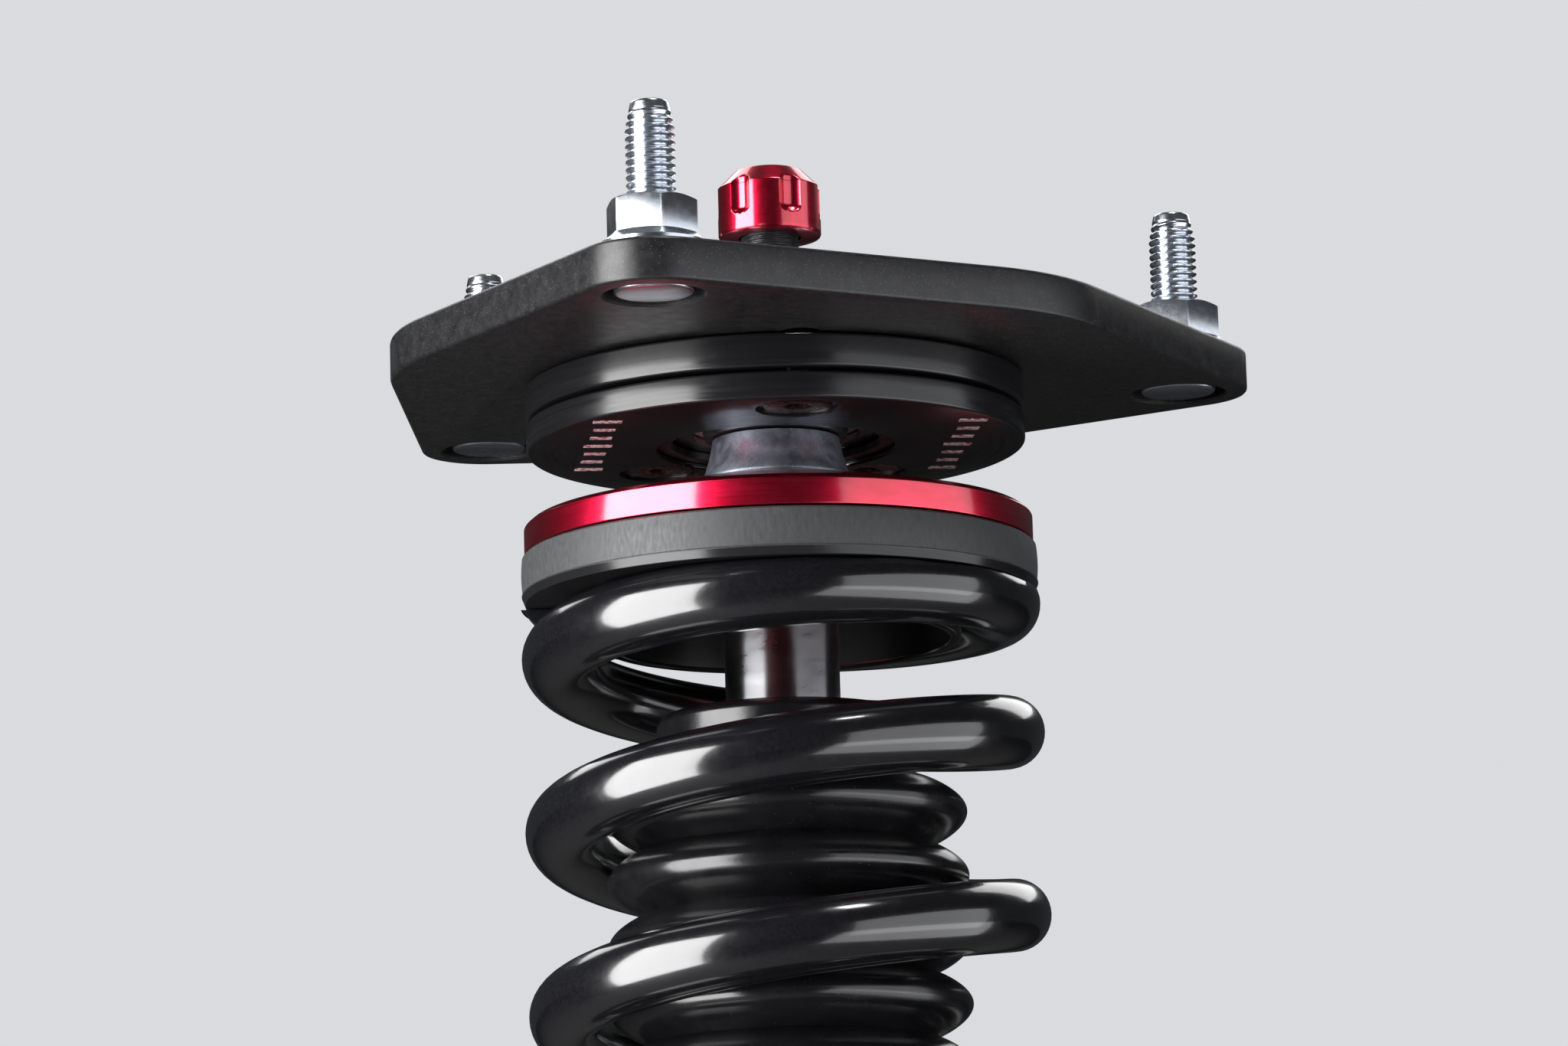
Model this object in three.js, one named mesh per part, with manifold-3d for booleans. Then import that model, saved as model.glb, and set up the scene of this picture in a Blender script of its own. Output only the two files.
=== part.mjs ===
// Height-adjustable coilover strut with a pillow-ball camber plate, in millimetres.
// +Z points up along the damper. +Y runs along the camber slot, away from the knuckle bracket's ears.
// The origin is on the damper's axis, level with the top face of the camber plate.

import * as THREE from "three";
import { mergeVertices } from "three/addons/utils/BufferGeometryUtils.js";
import Module from "manifold-3d";

const wasm = await Module();
wasm.setup();

// ---------------------------------------------------------------- driving dimensions

const GAP = 0.3; // clearance between neighbouring pieces
const THREAD_GAP = 0.4; // clearance of a collar on the threaded body
const CHAMFER = 0.6;

// Camber plate, three-fold, with rounded corners around the studs
const STUD_COUNT = 3;
const FIRST_STUD_ANGLE = -111.5;
const STUD_CIRCLE_RADIUS = 70.8;
const PLATE_THICKNESS = 7;
const PLATE_CORNER_RADIUS = 11.7;
const PLATE_WAIST_RADIUS = 40;
const PLATE_EDGE_ANGLE = 43.25; // from a stud's direction to the normal of the edges beside it

// Studs and flange nuts, M8
const STUD_RADIUS = 3.95;
const STUD_LENGTH_ABOVE = 24.2;
const STUD_TIP_RADIUS = 3;
const STUD_TIP_LENGTH = 4.5;
const STUD_HEAD_RADIUS = 6.35;
const STUD_HEAD_THICKNESS = 3;
const COUNTERBORE_RADIUS = 8;
const NUT_ACROSS_FLATS = 13;
const NUT_HEIGHT = 8;
const NUT_FLANGE_RADIUS = 8.5;
const NUT_FLANGE_THICKNESS = 1.8;
const NUT_TURN = -83.5;

// Camber carriage: clamp plate above the camber plate, bearing housing and retainer below it
const CARRIAGE_RIM = 3.1; // beyond the front clamp screw's head
const CAMBER_TRAVEL = 6;
const CARRIAGE_CLEARANCE = 0.4;
const HOUSING_THICKNESS = 5.6;
const CARRIAGE_GROOVE = 0.7;
const RETAINER_THICKNESS = 4.5;
const RETAINER_HOLE_STEP = 2.3; // from the race's outside to the retainer's hole
const CLAMP_PLATE_INSET = 2.5; // from the carriage's edge
const CLAMP_PLATE_THICKNESS = 3.4;
const CLAMP_PLATE_HOLE_STEP = 3.5; // from the camber slot's radius to the clamp plate's hole
const NUT_CLEARANCE = 2; // from the corners of the rod's nut to the camber slot's side
const BALL_CLEARANCE = 1; // from the pillow ball to the camber slot's side
const FRONT_SCREW_STEP = 15.5; // from the race's outside to the screw's axis
const REAR_SCREW_STEP = 9.1;
const REAR_SCREW_ANGLE = 41.3; // to each side of +Y
const SCREW_RADIUS = 3;
const SCREW_HEAD_RADIUS = 5.4;
const SCREW_HEAD_HEIGHT = 2.6;
const SCREW_SOCKET_FLATS = 4;
const SCREW_SOCKET_DEPTH = 2;

// Pillow ball and its bearing
const BALL_RADIUS = 12.5;
const BALL_WIDTH = 8.4;
const LINER_THICKNESS = 1.3;
const LINER_HEIGHT = 4.4; // it tilts with the ball, so it is shorter than the race
const RACE_WALL = 3.1; // at its thinnest, around the ball's middle
const RACE_HEIGHT = 7;
const RACE_LIP = 1; // thickness of the housing's lip above the race
const RACE_LIP_REACH = 1.6; // of the lip over the race
const CIRCLIP_THICKNESS = 1.2;
const CIRCLIP_OVERHANG = 2; // inside the race's outer radius
const CIRCLIP_REACH = 3; // outside it

// Damper rod and the stack clamped on its stud
const ROD_RADIUS = 9.5;
const ROD_STUD_RADIUS = 6;
const ROD_BORE_RADIUS = 2.4;
const ROD_STUD_ABOVE_NUT = 2.4;
const ROD_SHOULDER_CHAMFER = 1;
const NECK_TAPER = 1.5; // from its base to its top
const NECK_HEIGHT = 7.2;
const NECK_FLARE = 0.4; // share of the height where that share of the taper is left
const TOP_SPACER_RADIUS = 8.5;
const TOP_SPACER_HEIGHT = 11.8;
const ROD_NUT_FLATS = 18;
const ROD_NUT_HEIGHT = 8.4;
const ROD_NUT_TURN = 10;
const PISTON_RADIUS = 16.2;
const PISTON_HEIGHT = 18;
const PISTON_BAND_HEIGHT = 8;
const PISTON_BAND_DEPTH = 1.2;
const PISTON_STUD_RADIUS = 5;
const PISTON_NUT_FLATS = 16;
const PISTON_NUT_HEIGHT = 8;
const PISTON_STUD_BELOW_NUT = 2;
const REBOUND_SPACER_WALL = 3.2;
const REBOUND_SPACER_HEIGHT = 40;

// Damping adjuster
const KNOB_RADIUS = 8.6;
const KNOB_HEIGHT = 11.4;
const KNOB_CHAMFER = 3;
const KNOB_LIFT = 2.6; // above the top of the rod's stud
const KNOB_FLUTES = 6;
const KNOB_FLUTE_RADIUS = 2.4;
const KNOB_FLUTE_DEPTH = 1.1;
const KNOB_FLUTE_START = 2.6;
const KNOB_TURN = -70.8;
const STEM_COLLAR_RADIUS = 4.9;
const STEM_RADIUS = 2;
const STEM_DEPTH = 34; // of the rod's bore
const STEM_END_GAP = 2; // from the stem's end to the floor of the bore

// Thrust bearing and upper spring seat
const THRUST_CLEARANCE = 0.5; // around the rod
const THRUST_WIDTH = 2;
const THRUST_WASHER = 1.2;
const THRUST_CAGE = 1.6;
const SEAT_OVERHANG = 5.2; // beyond the spring's mean radius
const SEAT_EDGE_CHAMFER = 0.8;
const SEAT_RIM_HEIGHT = 4.4;
const SEAT_CONE_HEIGHT = 7.2;
const SEAT_BOSS_WALL = 1.1;
const SEAT_WALL = 4;
const SEAT_CONE_STEP = 2; // from the boss to the underside's cone

// Coil spring: closed and ground ends, right-handed
const SPRING_CLEARANCE = 6; // between the body and the spring's inside
const WIRE_RADIUS = 6;
const SPRING_TURNS = 8;
const SPRING_TIP_ANGLE = 173.5;
const CLOSED_RATE = 8; // rise for each turn at the very end
const OPEN_RATE = 30.3; // rise for each turn in the middle
const RAMP_START = 0.35; // turns from the tip
const RAMP_END = 1.45;
const GROUND_DEPTH = 2.5; // from the wire's centre at the tip to the ground face

// Spring isolators
const ISOLATOR_OVERHANG = 0.6; // beyond the seat
const ISOLATOR_RIM_HEIGHT = 6.5;
const ISOLATOR_BEVEL_HEIGHT = 1.7;
const ISOLATOR_BEVEL_WIDTH = 1.2;
const ISOLATOR_SKIRT_LENGTH = 7;
const ISOLATOR_SKIRT_WALL = 3;
const LOWER_ISOLATOR_THICKNESS = 3;

// Boot and bump stop
const BOOT_TOP_BELOW_SEAT = 30; // from the underside of the seat's rim
const BOOT_COLLAR_GAP = 2.4; // from the bump stop to the inside of the boot's collar
const BOOT_COLLAR_HEIGHT = 9;
const BOOT_PEAK_GAP = 0.3; // from the folds to the spring's inside
const BOOT_FOLD_DEPTH = 7.4;
const BOOT_PITCH = 10.6;
const BOOT_FOLDS = 9;
const BOOT_WALL = 1.6;
const BOOT_SLOPE_WALL = 2; // the wall measured across, where it slopes
const BOOT_EDGE = 1;
const BOOT_CUFF_HEIGHT = 9;
const BUMP_STOP_WALL = 7.5;
const BUMP_STOP_FOLD = 3.5;
const BUMP_STOP_HEIGHT = 38;
const BUMP_STOP_TUCK = 2; // below the top of the boot's collar

// Threaded body and the damper's inside
const OIL_ANNULUS = 3.4; // between the inner cylinder and the body
const BODY_WALL = 2.6;
const BODY_LENGTH = 262;
const BODY_BASE = 6;
const BODY_CHAMFER = 1.5;
const GLAND_FLANGE = 1.2; // beyond the body
const GLAND_HEIGHT = 9;
const GLAND_THREAD_HEIGHT = 10;
const GLAND_LIP_STEP = 2; // from the seals' bore to the gland's lip between them
const SEAL_WALL = 5;
const GUIDE_HEIGHT = 14;
const GUIDE_SPIGOT = 6;
const SEAL_HEIGHT = 5;
const WIPER_HEIGHT = 4;
const PISTON_CLEARANCE = 0.5;
const INNER_TUBE_WALL = 2.3;
const BASE_VALVE_HEIGHT = 10;

// Spring perch and lock collars
const PERCH_OVERHANG = 6; // beyond the spring's mean radius
const PERCH_FLANGE = 7;
const PERCH_SLEEVE_LENGTH = 14;
const PERCH_SHOULDER = 2; // height of the cone below the flange
const PERCH_SLOT_STOP = 3; // from the flange to the top of the slots
const PERCH_HUB_RISE = 6; // above the lower isolator
const COLLAR_WALL = 11;
const COLLAR_HEIGHT = 12;
const COLLAR_SLOTS = 6;
const COLLAR_SLOT_WIDTH = 7;
const COLLAR_SLOT_DEPTH = 4;
const COLLAR_SLOT_TURN = 15;
const COLLAR_CHAMFER = 1;

// Lower bracket
const SLEEVE_WALL = 8;
const SLEEVE_LENGTH = 84;
const SLEEVE_CHAMFER = 1.2;
const SLEEVE_BELOW_BODY = 34; // from the end of the body to the end of the sleeve
const EAR_GAP = 25; // the knuckle's width
const EAR_THICKNESS = 7;
const EAR_LENGTH = 43; // from the sleeve to the ears' ends
const EAR_HEIGHT = 80;
const EAR_CORNER = 9;
const KNUCKLE_BOLT_RADIUS = 7.25;
const KNUCKLE_BOLT_INSET = 16; // from the ears' ends
const KNUCKLE_BOLT_SPACING = 54;
const TAB_WIDTH = 24;
const TAB_LENGTH = 27; // from the sleeve
const TAB_THICKNESS = 3;
const TAB_HOLE_RADIUS = 5.5;
const TAB_DROP = 12; // below the sleeve's top

// Facets of round pieces
const FINE = 26;
const MEDIUM = 16;
const COARSE = 10;
const SPRING_STEPS = 14; // for each turn of the coil
const SPRING_SIDES = 6;

// ---------------------------------------------------------------- radii worked out from the sizes

const radians = (degrees) => (degrees * Math.PI) / 180;
const polar = (radius, degrees) => [
  radius * Math.cos(radians(degrees)),
  radius * Math.sin(radians(degrees)),
];

const innerBore = PISTON_RADIUS + PISTON_CLEARANCE;
const innerTubeRadius = innerBore + INNER_TUBE_WALL;
const bodyBore = innerTubeRadius + OIL_ANNULUS;
const bodyRadius = bodyBore + BODY_WALL;
const collarBore = bodyRadius + THREAD_GAP;
const collarRadius = bodyRadius + COLLAR_WALL;
const sleeveRadius = bodyRadius + SLEEVE_WALL;
const glandRadius = bodyRadius + GLAND_FLANGE;

const springInside = bodyRadius + SPRING_CLEARANCE;
const springRadius = springInside + WIRE_RADIUS;
const facetSag = springRadius * (1 - Math.cos(Math.PI / SPRING_STEPS)); // of the coil's straight steps
const locatorRadius = springInside - facetSag - GAP;
const seatRadius = springRadius + SEAT_OVERHANG;
const isolatorRadius = seatRadius + ISOLATOR_OVERHANG;
const perchRadius = springRadius + PERCH_OVERHANG;

const thrustInner = ROD_RADIUS + THRUST_CLEARANCE;
const thrustOuter = thrustInner + THRUST_WIDTH;
const neckBaseRadius = thrustOuter + GAP / 3;
const neckTopRadius = neckBaseRadius - NECK_TAPER;
const bossRadius = thrustOuter + GAP + SEAT_BOSS_WALL;
const bumpStopRadius = ROD_RADIUS + BUMP_STOP_WALL;
const bootCollarRadius = bumpStopRadius + BOOT_COLLAR_GAP + BOOT_WALL;
const bootPeakRadius = springInside - facetSag - BOOT_PEAK_GAP;
const bootValleyRadius = bootPeakRadius - BOOT_FOLD_DEPTH;

const linerInner = BALL_RADIUS + GAP;
const linerOuter = linerInner + LINER_THICKNESS;
const raceSphere = linerOuter + GAP;
const raceRadius = raceSphere + RACE_WALL;
const frontScrewReach = raceRadius + FRONT_SCREW_STEP;
const rearScrewReach = raceRadius + REAR_SCREW_STEP;
const clampScrewPlaces = [
  [0, -frontScrewReach],
  polar(rearScrewReach, 90 + REAR_SCREW_ANGLE),
  polar(rearScrewReach, 90 - REAR_SCREW_ANGLE),
];
const carriageRadius = frontScrewReach + SCREW_HEAD_RADIUS + CARRIAGE_RIM;
const clampPlateRadius = carriageRadius - CLAMP_PLATE_INSET;

// ---------------------------------------------------------------- heights worked out from the sizes

const plateBottom = -PLATE_THICKNESS;
const housingTop = plateBottom - CARRIAGE_CLEARANCE;
const housingBottom = housingTop - HOUSING_THICKNESS;
const retainerTop = housingBottom - CARRIAGE_GROOVE;
const retainerBottom = retainerTop - RETAINER_THICKNESS;
const clampTop = CARRIAGE_CLEARANCE + CLAMP_PLATE_THICKNESS;

const raceTop = housingTop - RACE_LIP - GAP;
const raceBottom = raceTop - RACE_HEIGHT;
const ballCentre = (raceTop + raceBottom) / 2;
const ballTop = ballCentre + BALL_WIDTH / 2;
const ballBottom = ballCentre - BALL_WIDTH / 2;

// The camber slot is wide enough for the rod's nut and for the ball, which reaches up into it.
const ballAtPlate = Math.sqrt(BALL_RADIUS ** 2 - (plateBottom - ballCentre) ** 2);
const windowForNut = ROD_NUT_FLATS / Math.sqrt(3) + NUT_CLEARANCE;
const windowRadius = Math.max(windowForNut, ballAtPlate + BALL_CLEARANCE);
const clampPlateHole = windowRadius + CLAMP_PLATE_HOLE_STEP;

const spacerTop = ballTop + GAP + TOP_SPACER_HEIGHT;
const rodNutTop = spacerTop + GAP + ROD_NUT_HEIGHT;
const rodTop = rodNutTop + ROD_STUD_ABOVE_NUT;
const knobBottom = rodTop + KNOB_LIFT;
const knobTop = knobBottom + KNOB_HEIGHT;

const neckTop = ballBottom - GAP;
const neckBottom = neckTop - NECK_HEIGHT;
const washerTop = neckBottom - GAP;
const cageTop = washerTop - THRUST_WASHER - GAP;
const recessFloor = cageTop - THRUST_CAGE - GAP;
const seatTop = neckBottom - GAP / 3;
const rimTop = seatTop - SEAT_CONE_HEIGHT;
const seatBottom = rimTop - SEAT_RIM_HEIGHT;

const isolatorTop = seatBottom - GAP;
const springTop = isolatorTop - ISOLATOR_RIM_HEIGHT - ISOLATOR_BEVEL_HEIGHT;
const rampLength = RAMP_END - RAMP_START;
const endDrop = CLOSED_RATE * RAMP_END + ((OPEN_RATE - CLOSED_RATE) * rampLength) / 2;
const springDrop = 2 * endDrop + OPEN_RATE * (SPRING_TURNS - 2 * RAMP_END);
const springLength = springDrop - 2 * GROUND_DEPTH;
const springBottom = springTop - springLength;

const lowerIsolatorTop = springBottom - GAP;
const perchTop = lowerIsolatorTop - LOWER_ISOLATOR_THICKNESS - GAP;
const perchBottom = perchTop - PERCH_FLANGE - PERCH_SLEEVE_LENGTH;
const perchCollarTop = perchBottom - GAP;

const bootTop = seatBottom - BOOT_TOP_BELOW_SEAT;
const bootFoldsTop = bootTop - BOOT_COLLAR_HEIGHT;
const bootBottom = bootFoldsTop - BOOT_FOLDS * BOOT_PITCH - BOOT_CUFF_HEIGHT;
const bumpStopTop = bootTop - BUMP_STOP_TUCK;

const glandTop = bootBottom + BOOT_CUFF_HEIGHT - GAP;
const bodyTop = glandTop - GLAND_HEIGHT - GAP;
const bodyBottom = bodyTop - BODY_LENGTH;
const glandThreadBottom = glandTop - GLAND_HEIGHT - GLAND_THREAD_HEIGHT;
const guideTop = glandThreadBottom - GAP;
const guideBottom = guideTop - GUIDE_HEIGHT;
const baseTop = bodyBottom + BODY_BASE;
const baseValveBottom = baseTop + GAP;
const innerTubeBottom = baseValveBottom + BASE_VALVE_HEIGHT / 2 + GAP;
const reboundTop = guideBottom - GUIDE_SPIGOT - GAP;
const reboundBottom = reboundTop - REBOUND_SPACER_HEIGHT;
const pistonTop = reboundBottom - GAP;
const pistonBottom = pistonTop - PISTON_HEIGHT;
const rodBottom = pistonBottom - 2 * GAP - PISTON_NUT_HEIGHT - PISTON_STUD_BELOW_NUT;

const sleeveBottom = bodyBottom - SLEEVE_BELOW_BODY;
const sleeveTop = sleeveBottom + SLEEVE_LENGTH;
const bracketCollarTop = sleeveTop + GAP + COLLAR_HEIGHT;
const earMiddle = (sleeveTop + sleeveBottom) / 2;
const tabTop = sleeveTop - TAB_DROP;

// ---------------------------------------------------------------- materials

const finish = (color, roughness, metalness) =>
  new THREE.MeshStandardMaterial({ color, roughness, metalness });
const BLACK_ANODISED = finish(0x141416, 0.45, 0.8);
const RED_ANODISED = finish(0xc00a22, 0.3, 0.9);
const ZINC = finish(0xc9d2de, 0.3, 1);
const BLACK_OXIDE = finish(0x2b2523, 0.4, 0.9);
const BEARING_STEEL = finish(0x8d9299, 0.25, 1);
const CHROME = finish(0xe6e8ee, 0.06, 1);
const DARK_STEEL = finish(0x5a636d, 0.45, 1);
const ALUMINIUM = finish(0xb4b6ba, 0.4, 0.95);
const BRONZE = finish(0xa5702f, 0.4, 0.9);
const GREY_POLYMER = finish(0x5d5f61, 0.75, 0);
const BLACK_RUBBER = finish(0x17181a, 0.5, 0);
const POLYURETHANE = finish(0xb98a3a, 0.6, 0);
const POWDER_COAT = finish(0x16181b, 0.22, 0.1);
const BLACK_PAINT = finish(0x121315, 0.35, 0.1);
const PTFE = finish(0xd8d4c8, 0.6, 0);

// ---------------------------------------------------------------- shapes

// Turns a closed outline of [radius, height] points about the Z axis.
function turned(outline, facets) {
  let area = 0;
  outline.forEach(([r, z], i) => {
    const [nextR, nextZ] = outline[(i + 1) % outline.length];
    area += r * nextZ - nextR * z;
  });
  const ordered = area > 0 ? outline : [...outline].reverse();
  const points = [...ordered, ordered[0]].map(([r, z]) => new THREE.Vector2(r, z));
  return new THREE.LatheGeometry(points, facets).rotateX(Math.PI / 2);
}

// A plain ring or, with no inner radius, a disc.
function ring(inner, outer, bottom, top, facets = FINE) {
  return turned([[inner, bottom], [outer, bottom], [outer, top], [inner, top]], facets);
}

// A ring whose outer edges are chamfered.
function chamferedRing(inner, outer, bottom, top, cut = CHAMFER, facets = FINE) {
  const edge = outer - cut;
  const outline = [
    [inner, bottom],
    [edge, bottom],
    [outer, bottom + cut],
    [outer, top - cut],
    [edge, top],
    [inner, top],
  ];
  return turned(outline, facets);
}

// Points of a sphere's outline, [radius, height], between two angles, both ends included.
function arcPoints(centreZ, radius, from, to, steps) {
  return Array.from({ length: steps + 1 }, (_, i) => {
    const [r, z] = polar(radius, from + ((to - from) * i) / steps);
    return [r, centreZ + z];
  });
}

function extruded(shape, bottom, top, cut = 0, curveSegments = 5) {
  const geometry = new THREE.ExtrudeGeometry(shape, {
    depth: top - bottom - 2 * cut,
    curveSegments,
    bevelEnabled: cut > 0,
    bevelThickness: cut,
    bevelSize: cut,
    bevelOffset: -cut,
    bevelSegments: 1,
  });
  return geometry.translate(0, 0, bottom + cut);
}

function circleShape(x, y, radius) {
  const shape = new THREE.Shape();
  shape.absarc(x, y, radius, 0, 2 * Math.PI, false);
  return shape;
}

// A slot along Y with round ends, whose centres lie the travel away to each side.
function slotShape(x, y, radius, travel) {
  const shape = new THREE.Shape();
  shape.absarc(x, y + travel, radius, 0, Math.PI, false);
  shape.absarc(x, y - travel, radius, Math.PI, 2 * Math.PI, false);
  return shape;
}

function hexagon(acrossFlats, turn = 0, x = 0, y = 0) {
  const corner = acrossFlats / Math.sqrt(3);
  const points = Array.from({ length: 6 }, (_, i) => {
    const [px, py] = polar(corner, turn + i * 60);
    return new THREE.Vector2(x + px, y + py);
  });
  return new THREE.Shape(points);
}

// ---------------------------------------------------------------- joining and cutting

function solid(geometry) {
  const bare = geometry.clone();
  bare.deleteAttribute("normal");
  bare.deleteAttribute("uv");
  const merged = mergeVertices(bare, 1e-4);
  const mesh = new wasm.Mesh({
    numProp: 3,
    vertProperties: merged.attributes.position.array,
    triVerts: new Uint32Array(merged.index.array),
  });
  return new wasm.Manifold(mesh);
}

function geometryOf(manifold) {
  const mesh = manifold.getMesh();
  const geometry = new THREE.BufferGeometry();
  geometry.setAttribute("position", new THREE.BufferAttribute(new Float32Array(mesh.vertProperties), 3));
  geometry.setIndex(Array.from(mesh.triVerts));
  geometry.computeVertexNormals();
  return geometry;
}

function cutBy(geometry, cutters) {
  let result = solid(geometry);
  for (const cutter of cutters) result = result.subtract(solid(cutter));
  return geometryOf(result);
}

function joined(geometries) {
  let result = solid(geometries[0]);
  for (const more of geometries.slice(1)) result = result.add(solid(more));
  return result;
}

// ---------------------------------------------------------------- scene graph

const coilover = new THREE.Group();

function place(parent, name, geometry, material) {
  const mesh = new THREE.Mesh(geometry, material);
  mesh.name = name;
  parent.add(mesh);
  return mesh;
}

function group(parent, name) {
  const made = new THREE.Group();
  made.name = name;
  parent.add(made);
  return made;
}

// ---------------------------------------------------------------- camber plate, studs and nuts

function plateOutline() {
  const edgeDistance = STUD_CIRCLE_RADIUS * Math.cos(radians(PLATE_EDGE_ANGLE)) + PLATE_CORNER_RADIUS;
  const pitch = 360 / STUD_COUNT;
  const waistHalf = pitch / 2 - PLATE_EDGE_ANGLE;
  const waistCentre = (edgeDistance - PLATE_WAIST_RADIUS) / Math.cos(radians(waistHalf));
  const shape = new THREE.Shape();
  for (let i = 0; i < STUD_COUNT; i++) {
    const corner = FIRST_STUD_ANGLE + i * pitch;
    const waist = corner + pitch / 2;
    const [cx, cy] = polar(STUD_CIRCLE_RADIUS, corner);
    const [wx, wy] = polar(waistCentre, waist);
    const cornerFrom = radians(corner - PLATE_EDGE_ANGLE);
    const cornerTo = radians(corner + PLATE_EDGE_ANGLE);
    const waistFrom = radians(waist - waistHalf);
    const waistTo = radians(waist + waistHalf);
    shape.absarc(cx, cy, PLATE_CORNER_RADIUS, cornerFrom, cornerTo, false);
    shape.absarc(wx, wy, PLATE_WAIST_RADIUS, waistFrom, waistTo, false);
  }
  return shape;
}

function makeCamberPlate(parent) {
  const cutters = [
    extruded(slotShape(0, 0, windowRadius, CAMBER_TRAVEL), plateBottom - 1, 1, 0, 8),
  ];
  for (const [x, y] of clampScrewPlaces) {
    const slot = slotShape(x, y, SCREW_RADIUS + GAP, CAMBER_TRAVEL + GAP);
    cutters.push(extruded(slot, plateBottom - 1, 1));
  }
  const counterboreTop = plateBottom + STUD_HEAD_THICKNESS + 2 * GAP;
  for (let i = 0; i < STUD_COUNT; i++) {
    const [x, y] = polar(STUD_CIRCLE_RADIUS, FIRST_STUD_ANGLE + (i * 360) / STUD_COUNT);
    cutters.push(ring(0, STUD_RADIUS + GAP, plateBottom - 1, 1, COARSE).translate(x, y, 0));
    cutters.push(ring(0, COUNTERBORE_RADIUS, plateBottom - 1, counterboreTop, COARSE).translate(x, y, 0));
  }
  const plate = extruded(plateOutline(), plateBottom, 0, CHAMFER);
  place(parent, "camber_plate", cutBy(plate, cutters), BLACK_ANODISED);
}

function makeStuds(parent) {
  const headBottom = plateBottom + GAP;
  const headTop = headBottom + STUD_HEAD_THICKNESS;
  const taperStart = STUD_LENGTH_ABOVE - STUD_TIP_LENGTH;
  for (let i = 0; i < STUD_COUNT; i++) {
    const letter = "abc"[i];
    const spot = group(parent, `stud_place_${letter}`);
    spot.position.set(...polar(STUD_CIRCLE_RADIUS, FIRST_STUD_ANGLE + (i * 360) / STUD_COUNT), 0);
    const outline = [
      [0, headBottom],
      [STUD_HEAD_RADIUS, headBottom],
      [STUD_HEAD_RADIUS, headTop],
      [STUD_RADIUS, headTop],
      [STUD_RADIUS, taperStart],
      [STUD_TIP_RADIUS, STUD_LENGTH_ABOVE],
      [0, STUD_LENGTH_ABOVE],
    ];
    place(spot, `mount_stud_${letter}`, turned(outline, COARSE), ZINC);
    const hexBottom = GAP + NUT_FLANGE_THICKNESS / 2;
    const hex = extruded(hexagon(NUT_ACROSS_FLATS, NUT_TURN), hexBottom, GAP + NUT_HEIGHT);
    const flange = ring(0, NUT_FLANGE_RADIUS, GAP, GAP + NUT_FLANGE_THICKNESS, COARSE);
    const bore = ring(0, STUD_RADIUS + GAP, 0, GAP + NUT_HEIGHT + 1, COARSE);
    const nut = joined([hex, flange]).subtract(solid(bore));
    place(spot, `flange_nut_${letter}`, geometryOf(nut), ZINC);
  }
}

// ---------------------------------------------------------------- camber carriage

// The space that a clamp screw takes: a countersunk head below a plain shank.
function screwOutline(shank, head, below) {
  const headTop = retainerBottom + SCREW_HEAD_HEIGHT;
  return [
    [0, retainerBottom - below],
    [head, retainerBottom - below],
    [head, retainerBottom + GAP],
    [shank, headTop],
    [shank, clampTop + below],
    [0, clampTop + below],
  ];
}

function makeCarriage(parent) {
  const holes = clampScrewPlaces.map(([x, y]) =>
    turned(screwOutline(SCREW_RADIUS + GAP, SCREW_HEAD_RADIUS + GAP, 1), COARSE).translate(x, y, 0),
  );
  const lipRadius = raceRadius - RACE_LIP_REACH;
  const pocketRadius = raceRadius + GAP;
  const holeRadius = raceRadius + RETAINER_HOLE_STEP;
  const circlipInner = raceRadius - CIRCLIP_OVERHANG;
  const circlipOuter = raceRadius + CIRCLIP_REACH;
  const housing = turned(
    [
      [lipRadius, housingTop],
      [carriageRadius - CHAMFER, housingTop],
      [carriageRadius, housingTop - CHAMFER],
      [carriageRadius, housingBottom + CHAMFER],
      [carriageRadius - CHAMFER, housingBottom],
      [pocketRadius, housingBottom],
      [pocketRadius, raceTop + GAP],
      [lipRadius, raceTop + GAP],
    ],
    FINE,
  );
  place(parent, "bearing_housing", cutBy(housing, holes), BLACK_ANODISED);

  const grooveTop = raceBottom - GAP / 2;
  const grooveBottom = grooveTop - CIRCLIP_THICKNESS - GAP;
  const retainer = turned(
    [
      [pocketRadius, retainerTop],
      [carriageRadius - CHAMFER, retainerTop],
      [carriageRadius, retainerTop - CHAMFER],
      [carriageRadius, retainerBottom + CHAMFER],
      [carriageRadius - CHAMFER, retainerBottom],
      [holeRadius, retainerBottom],
      [holeRadius, grooveBottom],
      [circlipOuter + GAP, grooveBottom],
      [circlipOuter + GAP, grooveTop],
      [pocketRadius, grooveTop],
    ],
    FINE,
  );
  place(parent, "retainer_disc", cutBy(retainer, holes), BLACK_ANODISED);
  const circlipTop = grooveTop - GAP / 2;
  const circlip = ring(circlipInner, circlipOuter, circlipTop - CIRCLIP_THICKNESS, circlipTop, MEDIUM);
  place(parent, "bearing_circlip", circlip, DARK_STEEL);

  const clamp = chamferedRing(clampPlateHole, clampPlateRadius, CARRIAGE_CLEARANCE, clampTop);
  place(parent, "clamp_plate", cutBy(clamp, holes), BLACK_ANODISED);

  clampScrewPlaces.forEach(([x, y], i) => {
    const screw = turned(screwOutline(SCREW_RADIUS, SCREW_HEAD_RADIUS, -GAP), COARSE);
    const socket = extruded(
      hexagon(SCREW_SOCKET_FLATS), retainerBottom - 1, retainerBottom + SCREW_SOCKET_DEPTH);
    const mesh = place(parent, `clamp_screw_${"abc"[i]}`, cutBy(screw, [socket]), BLACK_OXIDE);
    mesh.position.set(x, y, 0);
  });

  const half = (Math.asin(RACE_HEIGHT / 2 / raceSphere) * 180) / Math.PI;
  const race = [
    ...arcPoints(ballCentre, raceSphere, -half, half, 4),
    [raceRadius, raceTop],
    [raceRadius, raceBottom],
  ];
  place(parent, "bearing_outer_race", turned(race, FINE), BEARING_STEEL);
}

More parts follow.
